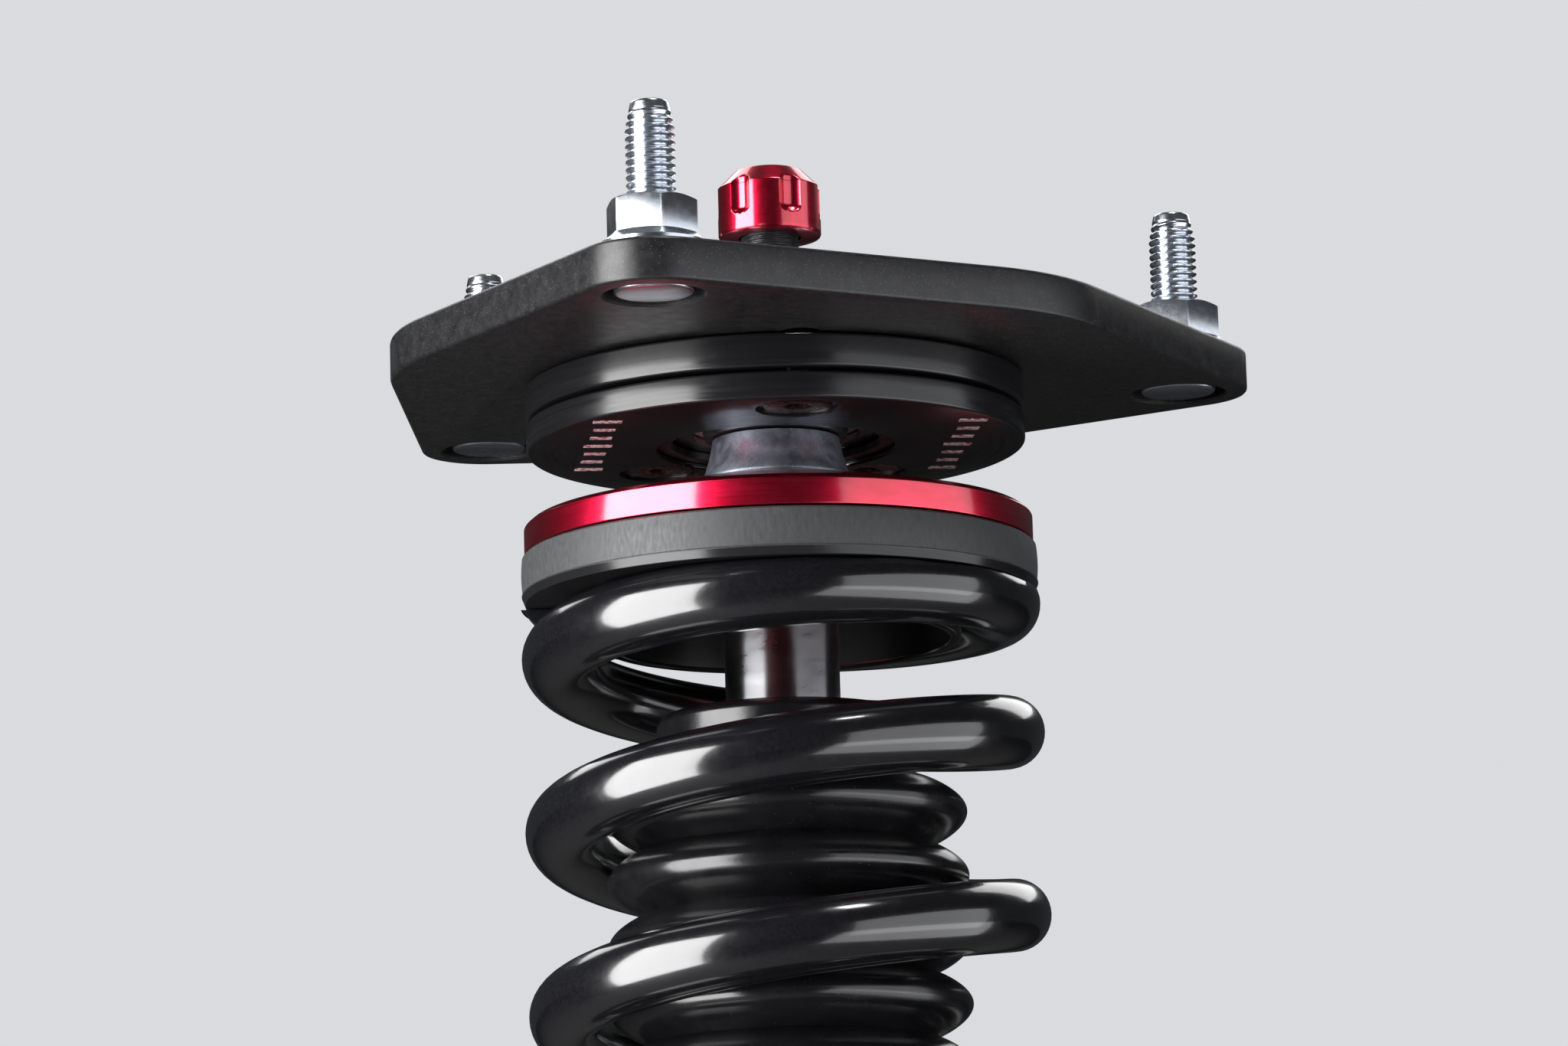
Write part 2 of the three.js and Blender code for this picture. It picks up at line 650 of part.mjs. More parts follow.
function makeLiner(parent) {
  const half = (Math.asin(LINER_HEIGHT / 2 / linerOuter) * 180) / Math.PI;
  const outline = [
    ...arcPoints(ballCentre, linerOuter, -half, half, 4),
    ...arcPoints(ballCentre, linerInner, half, -half, 4),
  ];
  place(parent, "bearing_liner", turned(outline, FINE), PTFE);
}

// ---------------------------------------------------------------- rod and its stack

function makeRodStack(parent) {
  const bore = ROD_STUD_RADIUS + GAP;
  const half = (Math.asin(BALL_WIDTH / 2 / BALL_RADIUS) * 180) / Math.PI;
  const ball = [
    [bore, ballBottom],
    ...arcPoints(ballCentre, BALL_RADIUS, -half, half, 8),
    [bore, ballTop],
  ];
  place(parent, "pillow_ball", turned(ball, FINE), BEARING_STEEL);

  const neck = [
    [bore, neckBottom],
    [neckBaseRadius, neckBottom],
    [neckTopRadius + NECK_FLARE * NECK_TAPER, neckBottom + NECK_FLARE * NECK_HEIGHT],
    [neckTopRadius, neckTop],
    [bore, neckTop],
  ];
  place(parent, "neck_spacer", turned(neck, FINE), DARK_STEEL);
  const topSpacer = ring(bore, TOP_SPACER_RADIUS, ballTop + GAP, spacerTop, MEDIUM);
  place(parent, "top_spacer", topSpacer, DARK_STEEL);

  const nut = extruded(hexagon(ROD_NUT_FLATS, ROD_NUT_TURN), spacerTop + GAP, rodNutTop);
  const nutBore = ring(0, bore, spacerTop, rodNutTop + 1, COARSE);
  place(parent, "rod_top_nut", cutBy(nut, [nutBore]), ZINC);

  const rod = [
    [PISTON_STUD_RADIUS, rodBottom],
    [PISTON_STUD_RADIUS, pistonTop],
    [ROD_RADIUS, pistonTop + GAP],
    [ROD_RADIUS, neckBottom - GAP - ROD_SHOULDER_CHAMFER],
    [ROD_RADIUS - ROD_SHOULDER_CHAMFER, neckBottom - GAP],
    [ROD_STUD_RADIUS, neckBottom - GAP],
    [ROD_STUD_RADIUS, rodTop],
    [ROD_BORE_RADIUS, rodTop],
    [ROD_BORE_RADIUS, rodTop - STEM_DEPTH],
    [0, rodTop - STEM_DEPTH],
    [0, rodBottom],
  ];
  place(parent, "piston_rod", turned(rod, MEDIUM), CHROME);

  const washer = ring(thrustInner, thrustOuter, washerTop - THRUST_WASHER, washerTop, MEDIUM);
  place(parent, "thrust_washer", washer, BEARING_STEEL);
}

function makePiston(parent) {
  const spacerBore = ROD_RADIUS + GAP;
  const spacerRadius = spacerBore + REBOUND_SPACER_WALL;
  const spacer = ring(spacerBore, spacerRadius, reboundBottom, reboundTop, MEDIUM);
  place(parent, "rebound_spacer", spacer, ALUMINIUM);
  const bore = PISTON_STUD_RADIUS + GAP;
  const bandMiddle = (pistonTop + pistonBottom) / 2;
  const bandTop = bandMiddle + PISTON_BAND_HEIGHT / 2;
  const bandBottom = bandMiddle - PISTON_BAND_HEIGHT / 2;
  const grooveFloor = PISTON_RADIUS - PISTON_BAND_DEPTH - GAP;
  const piston = [
    [bore, pistonBottom],
    [PISTON_RADIUS - GAP, pistonBottom],
    [PISTON_RADIUS - GAP, bandBottom - GAP],
    [grooveFloor, bandBottom - GAP],
    [grooveFloor, bandTop + GAP],
    [PISTON_RADIUS - GAP, bandTop + GAP],
    [PISTON_RADIUS - GAP, pistonTop - GAP],
    [bore, pistonTop - GAP],
  ];
  place(parent, "piston_valve", turned(piston, MEDIUM), ALUMINIUM);
  const band = ring(PISTON_RADIUS - PISTON_BAND_DEPTH, PISTON_RADIUS, bandBottom, bandTop, MEDIUM);
  place(parent, "piston_band", band, BRONZE);
  const nutTop = pistonBottom - GAP;
  const nut = extruded(hexagon(PISTON_NUT_FLATS), nutTop - PISTON_NUT_HEIGHT, nutTop);
  const nutBore = ring(0, bore, nutTop - PISTON_NUT_HEIGHT - 1, nutTop + 1, COARSE);
  place(parent, "piston_nut", cutBy(nut, [nutBore]), ZINC);
}

function makeBumpStop(parent) {
  const bore = ROD_RADIUS + GAP;
  const waist = bumpStopRadius - BUMP_STOP_FOLD;
  const bottom = bumpStopTop - BUMP_STOP_HEIGHT;
  const step = BUMP_STOP_HEIGHT / 4;
  const outline = [
    [bore, bottom],
    [waist, bottom],
    [bumpStopRadius, bottom + step],
    [waist, bottom + 2 * step],
    [bumpStopRadius, bottom + 3 * step],
    [bumpStopRadius, bumpStopTop],
    [bore, bumpStopTop],
  ];
  place(parent, "bump_stop", turned(outline, MEDIUM), POLYURETHANE);
}

// ---------------------------------------------------------------- damping adjuster

function makeAdjuster(parent) {
  const collarTop = knobBottom + KNOB_HEIGHT / 2;
  const collarBottom = rodTop + GAP;
  const stemBottom = rodTop - STEM_DEPTH + STEM_END_GAP;
  const stem = turned(
    [
      [0, stemBottom],
      [STEM_RADIUS, stemBottom],
      [STEM_RADIUS, collarBottom],
      [STEM_COLLAR_RADIUS, collarBottom],
      [STEM_COLLAR_RADIUS, collarTop],
      [0, collarTop],
    ],
    MEDIUM,
  );
  place(parent, "adjuster_stem", stem, DARK_STEEL);

  const bore = STEM_COLLAR_RADIUS + GAP;
  const knob = turned(
    [
      [bore, knobBottom],
      [KNOB_RADIUS - CHAMFER, knobBottom],
      [KNOB_RADIUS, knobBottom + CHAMFER],
      [KNOB_RADIUS, knobTop - KNOB_CHAMFER],
      [KNOB_RADIUS - KNOB_CHAMFER, knobTop],
      [0, knobTop],
      [0, collarTop + GAP],
      [bore, collarTop + GAP],
    ],
    MEDIUM,
  );
  const fluteCentre = KNOB_RADIUS + KNOB_FLUTE_RADIUS - KNOB_FLUTE_DEPTH;
  const flutes = Array.from({ length: KNOB_FLUTES }, (_, i) => {
    const [x, y] = polar(fluteCentre, KNOB_TURN + (i * 360) / KNOB_FLUTES);
    const flute = ring(0, KNOB_FLUTE_RADIUS, knobBottom + KNOB_FLUTE_START, knobTop + 1, COARSE);
    return flute.translate(x, y, 0);
  });
  place(parent, "adjuster_knob", cutBy(knob, flutes), RED_ANODISED);
}

// ---------------------------------------------------------------- spring seat, isolator, spring and boot

function makeSpringSeat(parent) {
  const cage = ring(thrustInner, thrustOuter, cageTop - THRUST_CAGE, cageTop, MEDIUM);
  place(parent, "needle_thrust_cage", cage, BRONZE);

  const recess = thrustOuter + GAP;
  const bore = ROD_RADIUS + 2 * GAP;
  const rimInner = locatorRadius - ISOLATOR_SKIRT_WALL;
  const seat = turned(
    [
      [recess, seatTop],
      [bossRadius, seatTop],
      [seatRadius - SEAT_EDGE_CHAMFER, rimTop + SEAT_EDGE_CHAMFER],
      [seatRadius, rimTop],
      [seatRadius, seatBottom],
      [rimInner, seatBottom],
      [bossRadius + SEAT_CONE_STEP, recessFloor - SEAT_WALL],
      [bore, recessFloor - SEAT_WALL],
      [bore, recessFloor],
      [recess, recessFloor],
    ],
    FINE,
  );
  place(parent, "upper_spring_seat", seat, RED_ANODISED);

  const bevelTop = isolatorTop - ISOLATOR_RIM_HEIGHT;
  const isolatorFloor = springTop + GAP;
  const isolator = turned(
    [
      [rimInner, isolatorTop],
      [isolatorRadius - GAP, isolatorTop],
      [isolatorRadius, (isolatorTop + bevelTop) / 2],
      [isolatorRadius, bevelTop],
      [isolatorRadius - ISOLATOR_BEVEL_WIDTH, isolatorFloor],
      [locatorRadius, isolatorFloor],
      [locatorRadius, springTop - ISOLATOR_SKIRT_LENGTH],
      [rimInner, springTop - ISOLATOR_SKIRT_LENGTH],
    ],
    FINE,
  );
  place(parent, "spring_isolator", isolator, GREY_POLYMER);
}

// Height of the wire's centre below the top tip after a number of turns, with closed ends.
function dropAfter(turns) {
  if (turns > SPRING_TURNS / 2) return springDrop - dropAfter(SPRING_TURNS - turns);
  const ramp = Math.min(Math.max((turns - RAMP_START) / rampLength, 0), 1);
  const eased = rampLength * (ramp ** 3 - ramp ** 4 / 2);
  const beyond = Math.max(turns - RAMP_END, 0);
  return CLOSED_RATE * turns + (OPEN_RATE - CLOSED_RATE) * (eased + beyond);
}

class SpringCurve extends THREE.Curve {
  getPoint(t, target = new THREE.Vector3()) {
    const turns = t * SPRING_TURNS;
    const [x, y] = polar(springRadius, SPRING_TIP_ANGLE - turns * 360);
    return target.set(x, y, springTop + GROUND_DEPTH - dropAfter(turns));
  }
}

function makeSpring(parent) {
  const corners = Array.from({ length: SPRING_SIDES }, (_, i) => {
    const [x, y] = polar(WIRE_RADIUS, (i * 360) / SPRING_SIDES);
    return new THREE.Vector2(x, y);
  });
  const wire = new THREE.ExtrudeGeometry(new THREE.Shape(corners), {
    steps: Math.round(SPRING_TURNS * SPRING_STEPS),
    extrudePath: new SpringCurve(),
    bevelEnabled: false,
  });
  const reach = springRadius + 3 * WIRE_RADIUS;
  const aboveTop = ring(0, reach, springTop, springTop + 3 * WIRE_RADIUS, COARSE);
  const belowBottom = ring(0, reach, springBottom - 3 * WIRE_RADIUS, springBottom, COARSE);
  place(parent, "coil_spring", cutBy(wire, [aboveTop, belowBottom]), POWDER_COAT);
}

// Bellows: a thin wall that zigzags between peaks and valleys, with a collar above and a cuff below.
function makeBoot(parent) {
  const outside = [
    [bootCollarRadius - BOOT_EDGE, bootTop],
    [bootCollarRadius, bootTop - BOOT_EDGE],
    [bootCollarRadius, bootFoldsTop + BOOT_EDGE],
  ];
  const collarPoints = outside.length;
  for (let fold = 0; fold < BOOT_FOLDS; fold++) {
    const top = bootFoldsTop - fold * BOOT_PITCH;
    outside.push([bootValleyRadius, top], [bootPeakRadius, top - BOOT_PITCH / 2]);
  }
  const cuffTop = bootFoldsTop - BOOT_FOLDS * BOOT_PITCH;
  const cuffOuter = glandRadius + GAP + BOOT_WALL;
  outside.push([cuffOuter, cuffTop], [cuffOuter, bootBottom]);
  const inside = outside.map(([r, z], i) => [r - (i < collarPoints ? BOOT_WALL : BOOT_SLOPE_WALL), z]);
  inside[outside.length - 1] = [glandRadius + GAP, bootBottom];
  inside[outside.length - 2] = [glandRadius + GAP, cuffTop];
  place(parent, "dust_boot", turned([...outside, ...inside.reverse()], MEDIUM), BLACK_RUBBER);
}

// ---------------------------------------------------------------- spring perch and lock collars

function collarSlots(bottom, top, radius) {
  return Array.from({ length: COLLAR_SLOTS }, (_, i) => {
    const angle = (i * 360) / COLLAR_SLOTS + COLLAR_SLOT_TURN;
    const [x, y] = polar(radius, angle);
    const slot = new THREE.BoxGeometry(2 * COLLAR_SLOT_DEPTH, COLLAR_SLOT_WIDTH, top - bottom);
    return slot.rotateZ(radians(angle)).translate(x, y, (top + bottom) / 2);
  });
}

function makeLockCollar(parent, name, top) {
  const bottom = top - COLLAR_HEIGHT;
  const blank = chamferedRing(collarBore, collarRadius, bottom, top, COLLAR_CHAMFER);
  place(parent, name, cutBy(blank, collarSlots(bottom - 1, top + 1, collarRadius)), RED_ANODISED);
}

function makePerch(parent) {
  const hubTop = perchTop + LOWER_ISOLATOR_THICKNESS + PERCH_HUB_RISE;
  const hub = locatorRadius;
  const flangeBottom = perchTop - PERCH_FLANGE;
  const outline = [
    [collarBore, perchBottom],
    [collarRadius, perchBottom],
    [collarRadius, flangeBottom - PERCH_SHOULDER],
    [perchRadius, flangeBottom],
    [perchRadius, perchTop - COLLAR_CHAMFER],
    [perchRadius - COLLAR_CHAMFER, perchTop],
    [hub, perchTop],
    [hub, hubTop - COLLAR_CHAMFER],
    [hub - COLLAR_CHAMFER, hubTop],
    [collarBore, hubTop],
  ];
  const slots = collarSlots(perchBottom - 1, flangeBottom - PERCH_SLOT_STOP, collarRadius);
  place(parent, "spring_perch", cutBy(turned(outline, FINE), slots), RED_ANODISED);
  const isolatorEdge = perchRadius - COLLAR_CHAMFER;
  const isolator = ring(hub + GAP, isolatorEdge, perchTop + GAP, lowerIsolatorTop);
  place(parent, "lower_spring_isolator", isolator, GREY_POLYMER);
}

// ---------------------------------------------------------------- strut body and its inside

function makeBody(parent) {
  const body = turned(
    [
      [0, bodyBottom],
      [bodyRadius - BODY_CHAMFER, bodyBottom],
      [bodyRadius, bodyBottom + BODY_CHAMFER],
      [bodyRadius, bodyTop - CHAMFER],
      [bodyRadius - CHAMFER, bodyTop],
      [bodyBore, bodyTop],
      [bodyBore, baseTop],
      [0, baseTop],
    ],
    FINE,
  );
  place(parent, "threaded_body", body, BLACK_PAINT);

  const shellTop = glandTop - GLAND_HEIGHT;
  const rodBore = ROD_RADIUS + GAP;
  const sealRadius = rodBore + SEAL_WALL;
  const lipBore = rodBore + GLAND_LIP_STEP;
  const sealTop = guideTop + SEAL_HEIGHT + 2 * GAP;
  const gland = turned(
    [
      [lipBore, glandThreadBottom],
      [bodyBore - GAP, glandThreadBottom],
      [bodyBore - GAP, shellTop],
      [glandRadius, shellTop],
      [glandRadius, glandTop - CHAMFER],
      [glandRadius - CHAMFER, glandTop],
      [sealRadius + GAP, glandTop],
      [sealRadius + GAP, glandTop - WIPER_HEIGHT],
      [lipBore, glandTop - WIPER_HEIGHT],
    ],
    MEDIUM,
  );
  const sealPocket = ring(0, sealRadius + GAP, glandThreadBottom - 1, sealTop, MEDIUM);
  place(parent, "gland_nut", cutBy(gland, [sealPocket]), BLACK_ANODISED);

  const wiperBottom = glandTop - WIPER_HEIGHT + GAP;
  place(parent, "rod_wiper", ring(rodBore, sealRadius, wiperBottom, glandTop, MEDIUM), BLACK_RUBBER);
  const sealBottom = glandThreadBottom + GAP;
  place(parent, "oil_seal", ring(rodBore, sealRadius, sealBottom, sealTop - GAP, MEDIUM), BLACK_RUBBER);

  const guide = turned(
    [
      [rodBore, guideBottom - GUIDE_SPIGOT],
      [innerBore - GAP, guideBottom - GUIDE_SPIGOT],
      [innerBore - GAP, guideBottom],
      [bodyBore - GAP, guideBottom],
      [bodyBore - GAP, guideTop],
      [rodBore, guideTop],
    ],
    MEDIUM,
  );
  place(parent, "rod_guide", guide, ALUMINIUM);

  const innerTop = guideBottom - GAP;
  const cylinder = ring(innerBore, innerTubeRadius, innerTubeBottom, innerTop, MEDIUM);
  place(parent, "inner_cylinder", cylinder, BEARING_STEEL);

  const valveMiddle = baseValveBottom + BASE_VALVE_HEIGHT / 2;
  const valve = turned(
    [
      [0, baseValveBottom],
      [innerTubeRadius, baseValveBottom],
      [innerTubeRadius, valveMiddle],
      [innerBore - GAP, valveMiddle],
      [innerBore - GAP, baseValveBottom + BASE_VALVE_HEIGHT],
      [0, baseValveBottom + BASE_VALVE_HEIGHT],
    ],
    MEDIUM,
  );
  place(parent, "base_valve", valve, BRONZE);
}

// ---------------------------------------------------------------- lower bracket

// An ear's outline in the Y-Z plane, drawn as X-Y and turned upright afterwards.
function earOutline() {
  const sleeveEdge = Math.sqrt((sleeveRadius + GAP) ** 2 - (EAR_GAP / 2) ** 2);
  const inner = -sleeveEdge;
  const outer = -sleeveRadius - EAR_LENGTH;
  const low = earMiddle - EAR_HEIGHT / 2;
  const high = earMiddle + EAR_HEIGHT / 2;
  const shape = new THREE.Shape();
  shape.moveTo(inner, low);
  shape.lineTo(inner, high);
  shape.absarc(outer + EAR_CORNER, high - EAR_CORNER, EAR_CORNER, Math.PI / 2, Math.PI, false);
  shape.absarc(outer + EAR_CORNER, low + EAR_CORNER, EAR_CORNER, Math.PI, 1.5 * Math.PI, false);
  return shape;
}

// Stands a shape drawn in X-Y upright, so that it lies in the Y-Z plane with its thickness along X.
function upright(shape, from, to, cut = 0) {
  const geometry = extruded(shape, from, to, cut);
  return geometry.rotateX(Math.PI / 2).rotateZ(Math.PI / 2);
}

function makeBracket(parent) {
  const sleeve = chamferedRing(collarBore, sleeveRadius, sleeveBottom, sleeveTop, SLEEVE_CHAMFER);
  place(parent, "bracket_sleeve", sleeve, BLACK_PAINT);

  const earReach = sleeveRadius + EAR_LENGTH;
  const boltPlace = KNUCKLE_BOLT_INSET - earReach;
  const holes = [-1, 1].map((side) => {
    const height = earMiddle + (side * KNUCKLE_BOLT_SPACING) / 2;
    return upright(circleShape(boltPlace, height, KNUCKLE_BOLT_RADIUS), -earReach, earReach);
  });
  const inside = EAR_GAP / 2;
  const outside = inside + EAR_THICKNESS;
  const faces = { left: [-outside, -inside], right: [inside, outside] };
  for (const [side, [from, to]] of Object.entries(faces)) {
    const ear = cutBy(upright(earOutline(), from, to, CHAMFER), holes);
    place(parent, `bracket_ear_${side}`, ear, BLACK_PAINT);
  }

  const tab = new THREE.Shape();
  const root = sleeveRadius + GAP;
  const round = TAB_WIDTH / 2;
  const eye = sleeveRadius + TAB_LENGTH - round;
  tab.moveTo(round, root);
  tab.absarc(0, eye, round, 0, Math.PI, false);
  tab.lineTo(-round, root);
  const hole = extruded(circleShape(0, eye, TAB_HOLE_RADIUS), tabTop - 2 * TAB_THICKNESS, tabTop + 1);
  const plate = cutBy(extruded(tab, tabTop - TAB_THICKNESS, tabTop), [hole]);
  place(parent, "hose_tab", plate, BLACK_PAINT);
}

// ---------------------------------------------------------------- assembly

const topMount = group(coilover, "top_mount");
makeCamberPlate(topMount);
makeStuds(topMount);

const carriage = group(topMount, "camber_carriage");
makeCarriage(carriage);

const liner = group(carriage, "ball_liner");
makeLiner(liner);

const rod = group(liner, "damper_rod");
makeRodStack(rod);
makePiston(rod);
makeBumpStop(rod);

const adjuster = group(rod, "damping_adjuster");
makeAdjuster(adjuster);

const springSeat = group(rod, "spring_seat");
makeSpringSeat(springSeat);
makeSpring(springSeat);
makeBoot(springSeat);

const perch = group(springSeat, "perch");
makePerch(perch);
makeLockCollar(perch, "perch_lock_collar", perchCollarTop);

const strutBody = group(perch, "strut_body");
makeBody(strutBody);

const bracket = group(strutBody, "lower_bracket");
makeBracket(bracket);
makeLockCollar(bracket, "bracket_lock_collar", bracketCollarTop);

export default coilover;
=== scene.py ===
from math import asin, atan2, cos, degrees, hypot, pi, radians, sin, sqrt

import bmesh
import bpy
import numpy as np
from mathutils import Matrix, Vector


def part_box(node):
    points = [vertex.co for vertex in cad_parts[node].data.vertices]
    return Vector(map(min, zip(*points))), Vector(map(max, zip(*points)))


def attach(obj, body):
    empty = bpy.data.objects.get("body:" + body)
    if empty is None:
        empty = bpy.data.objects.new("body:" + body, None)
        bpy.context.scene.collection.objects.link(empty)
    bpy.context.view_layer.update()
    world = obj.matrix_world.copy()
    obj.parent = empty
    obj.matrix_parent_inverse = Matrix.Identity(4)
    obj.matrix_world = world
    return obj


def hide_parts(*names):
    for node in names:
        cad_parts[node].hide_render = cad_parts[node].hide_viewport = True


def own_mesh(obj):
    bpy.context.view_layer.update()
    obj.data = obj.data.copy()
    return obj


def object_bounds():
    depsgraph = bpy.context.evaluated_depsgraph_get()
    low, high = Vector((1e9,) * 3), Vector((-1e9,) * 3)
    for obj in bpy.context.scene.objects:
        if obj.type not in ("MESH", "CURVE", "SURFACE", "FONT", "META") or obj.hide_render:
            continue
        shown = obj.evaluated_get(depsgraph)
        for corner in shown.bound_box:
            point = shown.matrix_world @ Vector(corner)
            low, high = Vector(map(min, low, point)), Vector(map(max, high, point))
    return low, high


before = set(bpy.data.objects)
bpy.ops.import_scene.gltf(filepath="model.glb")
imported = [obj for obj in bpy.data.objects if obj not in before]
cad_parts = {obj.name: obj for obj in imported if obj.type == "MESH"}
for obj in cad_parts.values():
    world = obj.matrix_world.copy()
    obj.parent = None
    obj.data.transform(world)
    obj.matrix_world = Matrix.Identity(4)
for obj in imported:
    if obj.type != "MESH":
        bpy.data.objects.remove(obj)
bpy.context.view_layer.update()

MM = 0.001
TURN = 2 * pi


def span(node):
    """A CAD node's lowest and highest height, in millimetres."""
    low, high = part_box(node)
    return low.z / MM, high.z / MM


def radius_of(node):
    """The outer radius of a CAD node that is round about the Z axis, in millimetres."""
    low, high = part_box(node)
    return high.y / MM


# ---------------------------------------------------------------- camera, light and floor

CAMERA_AZIMUTH = radians(-6.52)
CAMERA_PITCH = radians(10.816)
CAMERA_ROLL = radians(1.654)
CAMERA_DISTANCE = 1.0707
CAMERA_AIM_HEIGHT = -0.0307
CAMERA_SIDE = 0.00098
CAMERA_LENS = 148.09


def make_camera():
    a, p, r = CAMERA_AZIMUTH, CAMERA_PITCH, CAMERA_ROLL
    right = Vector((cos(a), sin(a), 0))
    ahead = Vector((-sin(a) * cos(p), cos(a) * cos(p), sin(p)))
    above = Vector((sin(a) * sin(p), -cos(a) * sin(p), cos(p)))
    camera_right = cos(r) * right - sin(r) * above
    camera_up = sin(r) * right + cos(r) * above
    data = bpy.data.cameras.new("camera")
    data.lens = CAMERA_LENS
    data.sensor_width = 36
    data.clip_end = 50
    camera = bpy.data.objects.new("camera", data)
    bpy.context.scene.collection.objects.link(camera)
    place = Vector((0, 0, CAMERA_AIM_HEIGHT)) + CAMERA_SIDE * right - CAMERA_DISTANCE * ahead
    turn = Matrix((camera_right, camera_up, -ahead)).transposed()
    camera.matrix_world = Matrix.Translation(place) @ turn.to_4x4()
    bpy.context.scene.camera = camera


def add_light(name, azimuth, elevation, distance, size, radiance, color=(1, 1, 1)):
    """A soft panel seen from the object at an azimuth right of the camera and an elevation, in degrees."""
    a, e = radians(azimuth), radians(elevation)
    right = Vector((cos(CAMERA_AZIMUTH), sin(CAMERA_AZIMUTH), 0))
    ahead = Vector((-sin(CAMERA_AZIMUTH), cos(CAMERA_AZIMUTH), 0))
    direction = cos(e) * (sin(a) * right - cos(a) * ahead) + Vector((0, 0, sin(e)))
    data = bpy.data.lights.new(name, "AREA")
    data.shape = "RECTANGLE"
    data.size, data.size_y = size
    data.energy = radiance * pi * size[0] * size[1]
    data.color = color
    light = bpy.data.objects.new(name, data)
    bpy.context.scene.collection.objects.link(light)
    light.location = Vector((0, 0, STUDIO_MIDDLE)) + distance * direction
    light.visible_camera = False
    light.rotation_euler = direction.to_track_quat("Z", "Y").to_euler()
    return light


def make_world():
    """A pale backdrop for the camera, and a dim even light for everything else."""
    world = bpy.data.worlds.new("studio")
    bpy.context.scene.world = world
    world.use_nodes = True
    tree = world.node_tree
    backdrop = tree.nodes["Background"]
    backdrop.inputs["Color"].default_value = (0.70, 0.71, 0.73, 1)
    dim = tree.nodes.new("ShaderNodeBackground")
    dim.inputs["Color"].default_value = (0.9, 0.95, 1, 1)
    dim.inputs["Strength"].default_value = AMBIENT
    seen = tree.nodes.new("ShaderNodeLightPath")
    mix = tree.nodes.new("ShaderNodeMixShader")
    tree.links.new(seen.outputs["Is Camera Ray"], mix.inputs[0])
    tree.links.new(dim.outputs[0], mix.inputs[1])
    tree.links.new(backdrop.outputs[0], mix.inputs[2])
    tree.links.new(mix.outputs[0], tree.nodes["World Output"].inputs["Surface"])


STUDIO_MIDDLE = -0.08
AMBIENT = 0.03
FLOOR_COLOR = (0.56, 0.57, 0.58)
FLOOR_BOUNCE = (0.10, 0.10, 0.10)


def make_studio():
    make_world()
    bpy.context.scene.view_settings.view_transform = "Standard"
    add_light("key_left", -58, 0, 0.5, (0.42, 0.76), 9)
    add_light("panel_right", 62, 1.5, 1.0, (1.35, 0.8), 1.3, (0.96, 0.97, 1))
    add_light("low_panel_right", 62, -24, 0.6, (0.95, 0.32), 1.6, (0.96, 0.97, 1))
    add_light("top_strip", 40, 74, 0.9, (0.12, 0.3), 22)
    add_light("back_left", -150, 45, 1.3, (0.7, 0.7), 2.2)
    add_light("back_right", 150, 35, 1.3, (0.7, 0.7), 1.8)
    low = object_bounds()[0]
    floor_mesh = bpy.data.meshes.new("studio_floor")
    half, level = 4.0, low[2] - 0.002
    corners = [(-half, -half, level), (half, -half, level), (half, half, level), (-half, half, level)]
    floor_mesh.from_pydata(corners, [], [(0, 1, 2, 3)])
    floor = bpy.data.objects.new("studio_floor", floor_mesh)
    bpy.context.scene.collection.objects.link(floor)
    surface = Finish("pale_floor", FLOOR_BOUNCE, 0.75, Emission_Color=(*FLOOR_COLOR, 1))
    seen = surface.node("ShaderNodeLightPath")
    surface.link(seen.outputs["Is Camera Ray"], surface.shader.inputs["Emission Strength"])
    floor_mesh.materials.append(surface.material)


# ---------------------------------------------------------------- outlines and meshes

SHARP = radians(32)


def rounded(points, steps=4):
    """A closed outline of (r, z) or (r, z, fillet) with arcs at the corners that have a fillet."""
    out = []
    count = len(points)
    for i, point in enumerate(points):
        here = np.array(point[:2], float)
        fillet = point[2] if len(point) > 2 else 0
        if fillet <= 0:
            out.append(tuple(here))
            continue
        before = np.array(points[i - 1][:2], float) - here
        after = np.array(points[(i + 1) % count][:2], float) - here
        lb, la = np.linalg.norm(before), np.linalg.norm(after)
        ub, ua = before / lb, after / la
        angle = np.arccos(np.clip(ub @ ua, -1, 1))
        reach = min(fillet / np.tan(angle / 2), 0.49 * lb, 0.49 * la)
        size = reach * np.tan(angle / 2)
        bisector = ub + ua
        centre = here + bisector / np.linalg.norm(bisector) * (size / np.sin(angle / 2))
        start, end = here + ub * reach - centre, here + ua * reach - centre
        a0 = atan2(start[1], start[0])
        sweep = (atan2(end[1], end[0]) - a0 + pi) % TURN - pi
        for k in range(steps + 1):
            a = a0 + sweep * k / steps
            out.append((centre[0] + size * cos(a), centre[1] + size * sin(a)))
    return out


def finish_mesh(name, bm, sharp=SHARP):
    """Welds, turns the faces outwards, smooths all but sharp edges and returns the object."""
    bmesh.ops.remove_doubles(bm, verts=bm.verts, dist=2e-7)
    bmesh.ops.dissolve_degenerate(bm, edges=bm.edges, dist=1e-7)
    bmesh.ops.recalc_face_normals(bm, faces=bm.faces)
    mesh = bpy.data.meshes.new(name)
    bm.to_mesh(mesh)
    bm.free()
    mesh.shade_smooth()
    mesh.set_sharp_from_angle(angle=sharp)
    piece = bpy.data.objects.new(name, mesh)
    bpy.context.scene.collection.objects.link(piece)
    return piece


